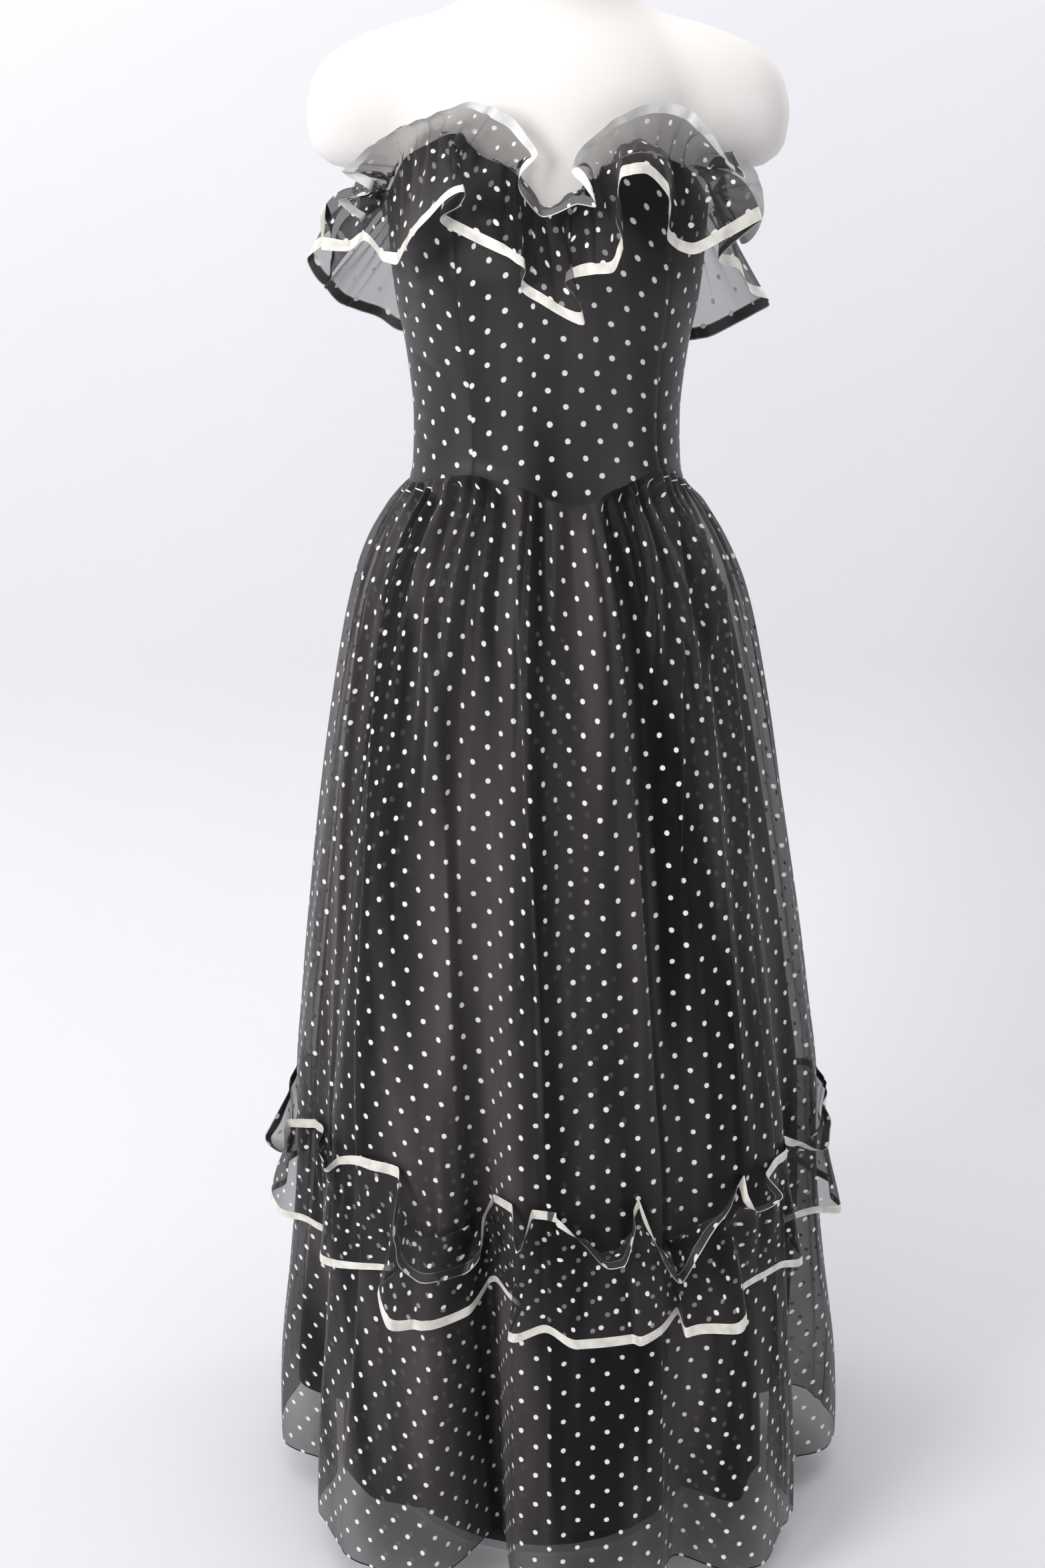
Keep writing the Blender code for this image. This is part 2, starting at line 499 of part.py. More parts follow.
def make_lining(angle, cuts, material, collection):
    """A plain black tube that hangs inside the skirt and follows its folds, inside their deepest places."""
    angle = angle[::2]
    waist = line_height(WAIST, angle) - LINING_DROP
    height = tube_heights(angle, waist, LINING_HEIGHTS, LINING_HEM_HEIGHT)
    deepest = np.minimum.reduce([fold_depth(angle + near, height) for near in NEAR_ANGLES])
    gap = smooth(height, [row.height for row in LINING_INSETS], [row.gap for row in LINING_INSETS])
    outer = on_gown(angle, height, deepest - gap)
    ways = split_ways(outer, True)
    inner = moved_out(outer, -LINING_CLOTH, True, ways)
    inner[[0, -1], :, 2] = outer[[0, -1], :, 2]
    halves("lining", outer, inner, ways, [cut // 2 for cut in cuts], material, collection)


def edge_points(rows, seam, seat):
    """Points along a strip's free edge, for places along its gathering line."""
    seams = [row.seam for row in rows]
    angle = seam + round_trip(seam, seams, [row.angle - row.seam for row in rows])
    out = round_trip(seam, seams, [row.out for row in rows])
    height = round_trip(seam, seams, [row.height for row in rows])
    return seat(angle, height, out)


def even_seams(rows, seat, count):
    """Places along the gathering line for columns that are evenly spaced along the strip's edge."""
    fine = np.linspace(-180, 180, 3601)
    edge = edge_points(rows, fine, seat)
    along = np.concatenate([[0], np.cumsum(np.linalg.norm(np.diff(edge, axis=0), axis=1))])
    return np.interp(np.arange(count) * along[-1] / count, along, fine)


def arched(start, end, width, fractions, outward):
    """Rows of cloth of a set width from start to end; what is longer than the straight line arches out."""
    chord = end - start
    length = np.linalg.norm(chord, axis=-1, keepdims=True)
    reach = np.sum(chord * outward, axis=-1, keepdims=True)
    spare = np.clip(width - length, 0, MOST_SPARE)
    rise = np.sqrt(3 * length * spare / 8) * np.clip(2 * (reach / length) ** 2, 0, 1)
    lift = -chord[:, 2:] * outward + reach * np.array([0.0, 0.0, 1.0])
    lift /= np.linalg.norm(lift, axis=-1, keepdims=True)
    return [start + chord * t + lift * rise * 4 * t * (1 - t) for t in fractions]


Strip = namedtuple("Strip", "name seat line lower upper header fall gather clearance")


def strip_grid(strip, seam):
    """Outside of a strip gathered along a line: its header above, its fall below."""
    height = line_height(strip.line, seam)
    odd = np.arange(len(seam)) % 2
    root = strip.seat(seam, height, strip.clearance + CLOTH + 2 * strip.gather * odd)
    outward = strip.seat(seam, height, 0.1) - strip.seat(seam, height, 0.0)
    outward /= np.linalg.norm(outward, axis=-1, keepdims=True)
    upper = edge_points(strip.upper, seam, strip.seat)
    lower = edge_points(strip.lower, seam, strip.seat)
    rows = arched(root, upper, strip.header, (1.0, 1 - RIBBON_WIDTH / strip.header, 0.42), outward)
    rows.append(root)
    rows += arched(root, lower, strip.fall, (0.42, 1 - RIBBON_WIDTH / strip.fall, 1.0), outward)
    return np.stack(rows)


def make_strip(strip, seam, cuts, cloth, ribbon, collection):
    outer = strip_grid(strip, seam)
    ways = split_ways(outer, True)
    inner = moved_out(outer, -CLOTH, True, ways)
    halves(strip.name, outer, inner, ways, cuts, cloth, collection)
    near = moved_out(outer, SEAM_GAP, True, ways)
    far = moved_out(outer, SEAM_GAP + RIBBON_CLOTH, True, ways)
    edges = (("upper", slice(0, 2), slice(0, 1)), ("lower", slice(-2, None), slice(-1, None)))
    for edge, rows, squares in edges:
        wall(f"{strip.name}_ribbon_{edge}", far[rows], near[rows], ways[squares], ribbon, collection)


def form_ring(height):
    """One level of the dress form: its trunk joined smoothly to the stumps at the shoulders."""
    inset = CLOTH + FORM_CLEARANCE
    trunk = list(HIPS)
    for row in GOWN:
        if HIPS[-1].height < row.height < CHEST[0].height:
            sides = (row.half_width - inset, row.front - inset, row.back - inset)
            trunk.append(Section(row.height, *sides, 0.0))
    trunk += CHEST
    half_width, front, back, _ = section_at(trunk, height)
    angle = np.radians(column_angles(FORM_COLUMNS))
    depth = np.where(np.cos(angle) > 0, front, back)
    radius = 1 / np.hypot(np.sin(angle) / half_width, np.cos(angle) / depth)
    if ARMS[0].height <= height <= ARMS[-1].height:
        levels = [arm.height for arm in ARMS]
        reach = smooth(height, levels, [arm.reach for arm in ARMS])
        half_depth = smooth(height, levels, [arm.half_depth for arm in ARMS])
        power = ARM_SQUARENESS
        spread = np.abs(np.sin(angle) / reach) ** power + np.abs(np.cos(angle) / half_depth) ** power
        radius = (radius**ARM_BLEND + spread ** (-ARM_BLEND / power)) ** (1 / ARM_BLEND)
    x = radius * np.sin(angle)
    y = -radius * np.cos(angle)
    return np.stack([x, y, np.full_like(x, height)], axis=-1)


def make_torso(material, collection):
    rings = np.stack([form_ring(height) for height in FORM_HEIGHTS[::-1]])
    faces, index = grid_triangles(split_ways(rings, True), rings.shape[1])
    faces = faces.tolist()
    faces.append(index[0, :-1].tolist())
    faces.append(index[-1, :-1][::-1].tolist())
    new_body("form_torso", rings.reshape(-1, 3), faces, material, collection)


def turned(name, profile, material, collection):
    """A turned piece: a profile of (radius, height) down its outer side, spun about the vertical."""
    mesh = bpy.data.meshes.new(name)
    edges = [(i, i + 1) for i in range(len(profile) - 1)]
    mesh.from_pydata([(radius, 0.0, height) for radius, height in profile], edges, [])
    mesh.materials.append(material)
    body = bpy.data.objects.new(name, mesh)
    collection.objects.link(body)
    screw = body.modifiers.new("Screw", "SCREW")
    screw.steps = ROUND_STEPS
    screw.render_steps = ROUND_STEPS
    screw.use_merge_vertices = True
    screw.merge_threshold = 0.00001
    return body


def make_stand(material, collection):
    top = HIPS[0].height - SEAM_GAP
    turned(
        "stand_pole",
        (
            (0.0, top),
            (POLE_RADIUS, top),
            (POLE_RADIUS, BASE_HEIGHT + SEAM_GAP),
            (0.0, BASE_HEIGHT + SEAM_GAP),
        ),
        material,
        collection,
    )
    hole = POLE_RADIUS + SEAM_GAP
    turned(
        "stand_base",
        (
            (0.0, BASE_HEIGHT),
            (hole, BASE_HEIGHT),
            (hole, COLLAR_HEIGHT),
            (COLLAR_RADIUS, COLLAR_HEIGHT),
            (COLLAR_RADIUS, BASE_HEIGHT + BASE_EDGE),
            (BASE_RADIUS - 3 * BASE_EDGE, BASE_HEIGHT),
            (BASE_RADIUS, BASE_HEIGHT - BASE_EDGE),
            (BASE_RADIUS, 0.0),
            (0.0, 0.0),
        ),
        material,
        collection,
    )


def main():
    clear_scene()
    gown = new_collection("strapless_gown_on_dress_form")
    dotted = new_material("dotted_organza", (0.030, 0.028, 0.031), 0.55)
    black = new_material("black_lining", (0.010, 0.010, 0.011), 0.60)
    satin = new_material("ivory_ribbon", (0.86, 0.82, 0.74), 0.35)
    pale = new_material("pale_form", (0.90, 0.84, 0.79), 0.55)
    metal = new_material("stand_metal", (0.75, 0.75, 0.75), 0.35, 1.0)
    make_torso(pale, gown)
    make_stand(metal, gown)
    make_bodice(dotted, gown)
    angle = skirt_angles()
    cuts = [nearest_column(angle, side) // 2 * 2 for side in (LEFT_SIDE.waist, RIGHT_SIDE.waist)]
    make_skirt(angle, cuts, dotted, gown)
    make_lining(angle, cuts, black, gown)
    flounce = Strip(
        "flounce", on_skirt, FLOUNCE_LINE, FLOUNCE_LOWER, FLOUNCE_UPPER, FLOUNCE_HEADER, FLOUNCE_FALL,
        FLOUNCE_GATHER, FLOUNCE_CLEARANCE,
    )
    make_strip(flounce, angle, cuts, dotted, satin, gown)
    ruffle = Strip(
        "neck_ruffle", on_gown, NECKLINE, NECK_LOWER, NECK_UPPER, NECK_HEADER, NECK_FALL, NECK_GATHER,
        NECK_CLEARANCE,
    )
    angle = even_seams(NECK_LOWER, on_gown, NECK_COLUMNS)
    cuts = [nearest_column(angle, side) // 2 * 2 for side in (LEFT_SIDE.neckline, RIGHT_SIDE.neckline)]
    make_strip(ruffle, angle, cuts, dotted, satin, gown)


main()
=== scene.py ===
import math
from collections import namedtuple

import bpy
import numpy as np
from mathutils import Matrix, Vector


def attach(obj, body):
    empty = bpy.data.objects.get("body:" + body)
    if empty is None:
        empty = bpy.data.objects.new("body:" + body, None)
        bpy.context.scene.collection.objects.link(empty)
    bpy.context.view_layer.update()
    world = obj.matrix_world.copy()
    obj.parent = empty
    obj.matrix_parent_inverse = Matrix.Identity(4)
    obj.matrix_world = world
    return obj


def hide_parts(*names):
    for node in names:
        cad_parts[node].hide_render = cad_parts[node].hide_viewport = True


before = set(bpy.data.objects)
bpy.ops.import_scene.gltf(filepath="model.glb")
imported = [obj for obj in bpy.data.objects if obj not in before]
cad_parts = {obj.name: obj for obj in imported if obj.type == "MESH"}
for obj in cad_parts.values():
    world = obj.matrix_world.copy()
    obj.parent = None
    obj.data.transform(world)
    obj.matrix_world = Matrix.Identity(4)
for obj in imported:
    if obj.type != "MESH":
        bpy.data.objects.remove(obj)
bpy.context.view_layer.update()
bpy.ops.object.select_all(action="DESELECT")

# A strapless gown of black dotted organza, trimmed with ivory satin ribbon, on a limbless dress form.
# Metres, +Z up, the gown's front towards -Y. An angle is measured round the gown in degrees,
# from the front (0) towards +X (90) and the back (180).

# Cloth and seams, as in the solids
CLOTH = 0.0012
LINING_CLOTH = 0.0010
SEAM_GAP = 0.0003
RIBBON_WIDTH = 0.009
FORM_CLEARANCE = 0.0020
NECK_HEADER = 0.046
NECK_FALL = 0.084
FLOUNCE_HEADER = 0.046
FLOUNCE_FALL = 0.094
NECK_CLEARANCE = 0.0016
FLOUNCE_CLEARANCE = 0.0034
# The most cloth that a strip takes up in an arch
MOST_SPARE = 0.012
NECK_TOP = 1.556
HEM_HEIGHT = 0.040
LINING_HEM_HEIGHT = 0.100

# How finely each cloth is modelled
SKIRT_COLUMNS = 1200
SKIRT_ROWS = 110
LINING_COLUMNS = 360
LINING_ROWS = 60
STRIP_COLUMNS = 1100
HEADER_ROWS = 12
FALL_ROWS = 18
RIBBON_ROWS = 4
BODICE_ROWS = 110
BODICE_STEP = 0.0030
FORM_SEGMENTS = 96
FORM_RINGS = 96
# Steps along a line that is measured, and how the skirt's rows crowd towards the waist
FINE_STEPS = 6001
SKIRT_CROWDING = 1.6

# The ribbon lies this far off the organza, reaches this far past its edge, and has woven edges this wide
RIBBON_LIFT = 0.0004
RIBBON_OVERHANG = 0.0007
RIBBON_SELVEDGE = 0.0011

# Outside of the gown at each height, before folds
Section = namedtuple("Section", "height half_width front back shift")
GOWN = (
    Section(0.030, 0.284, 0.268, 0.265, 0.011),
    Section(0.120, 0.282, 0.264, 0.260, 0.011),
    Section(0.250, 0.271, 0.248, 0.248, 0.011),
    Section(0.360, 0.262, 0.236, 0.236, 0.011),
    Section(0.4675, 0.256, 0.231, 0.229, 0.010),
    Section(0.551, 0.244, 0.219, 0.217, 0.008),
    Section(0.643, 0.231, 0.204, 0.202, 0.006),
    Section(0.792, 0.208, 0.180, 0.178, 0.003),
    Section(0.888, 0.190, 0.163, 0.158, 0.002),
    Section(0.964, 0.172, 0.145, 0.140, 0.001),
    Section(1.016, 0.152, 0.124, 0.119, 0.000),
    Section(1.045, 0.136, 0.108, 0.102, 0.000),
    Section(1.069, 0.1220, 0.094, 0.088, 0.000),
    Section(1.126, 0.1193, 0.095, 0.085, 0.000),
    Section(1.1865, 0.1250, 0.105, 0.088, 0.000),
    Section(1.2267, 0.1325, 0.118, 0.092, 0.000),
    Section(1.260, 0.1365, 0.126, 0.097, 0.000),
    Section(1.300, 0.1390, 0.124, 0.101, 0.000),
    Section(1.330, 0.1400, 0.115, 0.104, 0.000),
    Section(1.370, 0.1410, 0.104, 0.104, 0.000),
    Section(1.440, 0.1410, 0.090, 0.100, 0.000),
)

# The dress form where the gown doesn't touch it: its hips, and its chest up to the neck
HIPS = (
    Section(0.800, 0.136, 0.088, 0.098, 0.0),
    Section(0.806, 0.146, 0.097, 0.108, 0.0),
    Section(0.830, 0.154, 0.104, 0.116, 0.0),
    Section(0.880, 0.156, 0.106, 0.118, 0.0),
    Section(0.940, 0.148, 0.103, 0.112, 0.0),
    Section(1.000, 0.131, 0.096, 0.099, 0.0),
    Section(1.045, 0.1205, 0.0925, 0.088, 0.0),
)
CHEST = (
    Section(1.400, 0.137, 0.092, 0.100, 0.0),
    Section(1.430, 0.126, 0.078, 0.093, 0.0),
    Section(1.450, 0.108, 0.066, 0.084, 0.0),
    Section(1.465, 0.088, 0.058, 0.073, 0.0),
    Section(1.482, 0.070, 0.054, 0.062, 0.0),
    Section(1.505, 0.0595, 0.053, 0.056, 0.0),
    Section(1.546, 0.056, 0.054, 0.054, 0.0),
    Section(NECK_TOP, 0.050, 0.048, 0.048, 0.0),
)
# The short rounded stumps at the shoulders
Arm = namedtuple("Arm", "height reach half_depth")
ARMS = (
    Arm(1.326, 0.100, 0.020),
    Arm(1.336, 0.165, 0.028),
    Arm(1.345, 0.192, 0.037),
    Arm(1.360, 0.203, 0.047),
    Arm(1.385, 0.206, 0.050),
    Arm(1.410, 0.201, 0.048),
    Arm(1.430, 0.188, 0.043),
    Arm(1.446, 0.160, 0.036),
    Arm(1.458, 0.125, 0.028),
    Arm(1.470, 0.085, 0.018),
)
ARM_SQUARENESS = 3.2
ARM_BLEND = 20
# How far in the form's flat end rings lie
FLAT_RING = 0.6

# Heights of the sewn lines round the gown
Height = namedtuple("Height", "angle height")
WAIST = (
    Height(-180, 1.070), Height(-90, 1.069), Height(-60, 1.078), Height(-33, 1.090), Height(-10, 1.081),
    Height(11, 1.066), Height(30, 1.079), Height(55, 1.090), Height(72, 1.080), Height(90, 1.069),
)
NECKLINE = (
    Height(-180, 1.270), Height(-140, 1.276), Height(-110, 1.290), Height(-90, 1.307), Height(-70, 1.330),
    Height(-58, 1.352), Height(-46, 1.363), Height(-33, 1.373), Height(-23, 1.356), Height(-13, 1.347),
    Height(-6, 1.326), Height(-1, 1.310), Height(6, 1.320), Height(14, 1.338), Height(22, 1.352),
    Height(32, 1.358), Height(48, 1.350), Height(59, 1.340), Height(68, 1.328), Height(90, 1.304),
    Height(110, 1.290), Height(140, 1.276),
)
FLOUNCE_LINE = (
    Height(-180, 0.404), Height(-120, 0.398), Height(-88, 0.392), Height(-50, 0.414), Height(-20, 0.409),
    Height(10, 0.404), Height(45, 0.403), Height(85, 0.409), Height(130, 0.402),
)

# The skirt's large folds: where each starts and ends, how wide it is, and how far it stands out
# (or in, below nought) at the hip, the knee, the flounce and the hem
Fold = namedtuple("Fold", "top_angle hem_angle half_angle hip knee flounce hem")
FOLD_HEIGHTS = (1.060, 0.900, 0.620, 0.380, 0.040)
FOLDS = (
    Fold(-84, -91, 17, 0.002, 0.003, 0.000, 0.008),
    Fold(-62, -70, 14, -0.006, -0.014, -0.028, -0.048),
    Fold(-42, -40, 18, 0.006, 0.012, -0.004, 0.018),
    Fold(-20, -16, 10, -0.009, -0.020, -0.046, -0.092),
    Fold(-4, -3, 8, 0.007, 0.013, 0.002, 0.004),
    Fold(12, 12, 13, 0.002, 0.004, 0.000, 0.010),
    Fold(25, 27, 8, -0.008, -0.015, -0.012, -0.034),
    Fold(34, 40, 13, 0.006, 0.010, 0.002, 0.022),
    Fold(64, 69, 13, -0.008, -0.017, -0.032, -0.050),
    Fold(84, 88, 15, 0.003, 0.005, 0.002, 0.016),
    Fold(110, 112, 11, -0.006, -0.014, -0.022, -0.044),
    Fold(128, 130, 13, 0.004, 0.010, 0.013, 0.016),
    Fold(148, 149, 10, -0.008, -0.018, -0.028, -0.064),
    Fold(166, 166, 12, 0.004, 0.009, 0.012, 0.014),
    Fold(-173, -175, 9, -0.007, -0.015, -0.024, -0.050),
    Fold(-154, -156, 13, 0.005, 0.010, 0.013, 0.016),
    Fold(-132, -134, 11, -0.008, -0.017, -0.027, -0.056),
    Fold(-112, -114, 12, 0.003, 0.008, 0.011, 0.012),
)

# How far the lining hangs inside the skirt, whose deepest place within these angles counts
NEAR_ANGLES = (-4.0, -2.0, 0.0, 2.0, 4.0)
LINING_DROP = 0.004
Inset = namedtuple("Inset", "height gap")
LINING_INSETS = (
    Inset(0.060, 0.016), Inset(0.600, 0.012), Inset(0.900, 0.009), Inset(1.035, 0.006), Inset(1.062, 0.0),
)
# The lining's soft waves: how many, how deep, and how far below the waist they have grown to that depth
LINING_WAVES = 22
LINING_SEED = 12
LINING_WAVE_DEPTH = 0.004
LINING_WAVE_DROP = 0.5
LINING_WAVE_CREST = 0.8
# The lining hangs in at the wearer's left below this height, so that the skirt is sheer there
HOLLOW_ANGLE = 82
HOLLOW_REACH = 22
HOLLOW_TOP = 0.36
HOLLOW_EASE = 0.25
HOLLOW_DEPTH = 0.030

# The heights at which skirt and lining are divided into even columns
SKIRT_COUNTING_HEIGHT = 0.30
LINING_COUNTING_HEIGHT = 0.40

# How much wider the cloth was cut than its modelled folds are round: the rest is in crimps too fine to model,
# most of them just below the waist
LINING_EASE = 1.02
SKIRT_EASE = 1.06
WAIST_EASE = 0.34
WAIST_EASE_FADE = 9
WAIST_HEIGHT = 1.07
GATHERED_STRIP = 1.10

# The edges of the neckline ruffle: the place along the gathering line, then where the edge hangs
Edge = namedtuple("Edge", "seam angle out height")
NECK_LOWER = (
    Edge(-180, -180, 0.052, 1.190), Edge(-165, -167, 0.030, 1.186), Edge(-152, -152, 0.060, 1.188),
    Edge(-140, -141, 0.034, 1.180), Edge(-130, -129, 0.056, 1.184), Edge(-121, -123, 0.070, 1.198),
    Edge(-112, -113, 0.080, 1.212), Edge(-104, -105, 0.074, 1.228), Edge(-98, -98, 0.066, 1.235),
    Edge(-95, -92, 0.050, 1.262),
    Edge(-93, -88, 0.060, 1.240), Edge(-90.5, -86, 0.072, 1.262), Edge(-88, -82, 0.050, 1.285),
    Edge(-85.5, -80, 0.058, 1.305), Edge(-83, -78, 0.060, 1.275), Edge(-79, -70, 0.044, 1.276),
    Edge(-73, -64, 0.034, 1.286), Edge(-66, -58, 0.026, 1.270), Edge(-58, -50, 0.030, 1.270),
    Edge(-44, -34, 0.052, 1.304), Edge(-34, -21, 0.062, 1.334), Edge(-30.5, -24, 0.046, 1.322),
    Edge(-27, -33, 0.026, 1.308), Edge(-22, -25, 0.026, 1.297), Edge(-15, -10, 0.038, 1.281),
    Edge(-11, -6.5, 0.046, 1.275), Edge(-8, -8, 0.030, 1.256), Edge(-4, -2, 0.038, 1.246),
    Edge(2, 8.5, 0.055, 1.231), Edge(5, 7.5, 0.028, 1.250), Edge(8, 5, 0.018, 1.261),
    Edge(12, 11, 0.042, 1.270), Edge(15, 15.5, 0.052, 1.272), Edge(18, 19.5, 0.042, 1.290),
    Edge(21, 16.5, 0.054, 1.316), Edge(24, 17.5, 0.064, 1.346), Edge(29, 23, 0.062, 1.348),
    Edge(34, 29, 0.060, 1.332), Edge(38, 32, 0.046, 1.314), Edge(42, 36, 0.028, 1.292),
    Edge(48, 44, 0.034, 1.280), Edge(54, 51, 0.052, 1.293), Edge(61, 60, 0.066, 1.306),
    Edge(65, 56, 0.034, 1.272), Edge(69, 66, 0.040, 1.262), Edge(73, 74, 0.046, 1.240),
    Edge(78, 80, 0.060, 1.232), Edge(84, 90, 0.062, 1.226), Edge(95, 98, 0.068, 1.216),
    Edge(106, 110, 0.068, 1.200),
    Edge(118, 119, 0.048, 1.182), Edge(128, 128, 0.036, 1.178), Edge(140, 141, 0.060, 1.186),
    Edge(153, 153, 0.032, 1.182), Edge(167, 167, 0.058, 1.190),
)
NECK_UPPER = (
    Edge(-180, -180, 0.022, 1.306), Edge(-164, -164, 0.034, 1.304), Edge(-148, -148, 0.018, 1.312),
    Edge(-132, -132, 0.036, 1.306), Edge(-116, -116, 0.022, 1.316), Edge(-103, -103, 0.036, 1.316),
    Edge(-92, -90, 0.026, 1.328), Edge(-86, -80, 0.030, 1.318), Edge(-80, -66, 0.034, 1.302),
    Edge(-76, -70, 0.050, 1.318), Edge(-72, -61, 0.032, 1.326), Edge(-68, -66, 0.050, 1.342),
    Edge(-62, -59, 0.050, 1.352), Edge(-54, -53, 0.038, 1.369),
    Edge(-47, -45, 0.026, 1.381), Edge(-40, -35, 0.021, 1.391), Edge(-34, -25, 0.020, 1.399),
    Edge(-28, -18, 0.019, 1.396), Edge(-22, -12, 0.017, 1.388), Edge(-17, -7, 0.015, 1.374),
    Edge(-13, -3.5, 0.015, 1.360), Edge(-9, -8, 0.028, 1.345), Edge(-5, -7, 0.034, 1.330),
    Edge(-1, -1.8, 0.020, 1.313), Edge(5, 8, 0.028, 1.323), Edge(9, 12, 0.040, 1.322),
    Edge(13, 9.5, 0.032, 1.337), Edge(16, 6.7, 0.020, 1.348), Edge(19, 8.5, 0.015, 1.360),
    Edge(23, 15, 0.018, 1.376),
    Edge(27, 21, 0.020, 1.388), Edge(31, 27, 0.020, 1.394), Edge(35, 34, 0.020, 1.398),
    Edge(40, 41, 0.022, 1.396), Edge(46, 48, 0.025, 1.388), Edge(52, 53, 0.030, 1.373),
    Edge(57, 58, 0.040, 1.350), Edge(62, 62, 0.046, 1.338), Edge(66, 62.5, 0.034, 1.358),
    Edge(72, 72, 0.046, 1.338), Edge(79, 80, 0.048, 1.310), Edge(87, 88, 0.043, 1.285),
    Edge(94, 96, 0.036, 1.274), Edge(101, 103, 0.024, 1.318), Edge(108, 109, 0.024, 1.330),
    Edge(116, 116, 0.036, 1.312), Edge(132, 132, 0.020, 1.314), Edge(148, 148, 0.034, 1.304),
    Edge(164, 164, 0.018, 1.310),
)

# The edges of the skirt's flounce, out from the folded skirt
FLOUNCE_LOWER = (
    Edge(-180, -180, 0.026, 0.318), Edge(-171, -171, 0.012, 0.314), Edge(-161, -161, 0.032, 0.318),
    Edge(-151, -151, 0.014, 0.314), Edge(-141, -141, 0.030, 0.320), Edge(-131, -131, 0.012, 0.316),
    Edge(-121, -121, 0.030, 0.318), Edge(-112, -112, 0.012, 0.314), Edge(-103, -103, 0.024, 0.318),
    Edge(-96, -96, 0.014, 0.318), Edge(-89, -89, 0.025, 0.324), Edge(-82, -81, 0.016, 0.322),
    Edge(-75.5, -75, 0.010, 0.327), Edge(-71.5, -71, 0.011, 0.324), Edge(-63, -62, 0.013, 0.326),
    Edge(-54, -54, 0.012, 0.333), Edge(-44, -43.5, 0.012, 0.348), Edge(-38, -34.5, 0.011, 0.360),
    Edge(-34, -36, 0.026, 0.342), Edge(-31.5, -31, 0.043, 0.325), Edge(-27, -27, 0.026, 0.321),
    Edge(-23, -23, 0.032, 0.321), Edge(-19.5, -19, 0.042, 0.324), Edge(-16, -16, 0.013, 0.342),
    Edge(-12, -11.5, 0.012, 0.358), Edge(-9.5, -7, 0.012, 0.352), Edge(-7.8, -9.2, 0.027, 0.324),
    Edge(-2.5, -2.5, 0.014, 0.330), Edge(3.5, 3.5, 0.023, 0.318), Edge(13, 13.8, 0.021, 0.318),
    Edge(15.2, 15.2, 0.031, 0.321), Edge(22, 24.5, 0.017, 0.328), Edge(24.5, 23.8, 0.043, 0.321),
    Edge(31, 32, 0.048, 0.321), Edge(34.5, 35, 0.040, 0.323), Edge(38.5, 38.5, 0.014, 0.338),
    Edge(42, 41, 0.012, 0.339), Edge(50.5, 50.5, 0.012, 0.336), Edge(58, 58, 0.022, 0.329),
    Edge(65, 65, 0.013, 0.334), Edge(74, 75, 0.013, 0.336), Edge(81, 81, 0.026, 0.327),
    Edge(87, 87, 0.014, 0.325),
    Edge(93, 93, 0.022, 0.322), Edge(102, 102, 0.012, 0.316), Edge(112, 112, 0.028, 0.318),
    Edge(121, 121, 0.012, 0.314), Edge(131, 131, 0.030, 0.318), Edge(141, 141, 0.012, 0.314),
    Edge(151, 151, 0.030, 0.318), Edge(160, 160, 0.012, 0.316), Edge(170, 170, 0.030, 0.318),
)
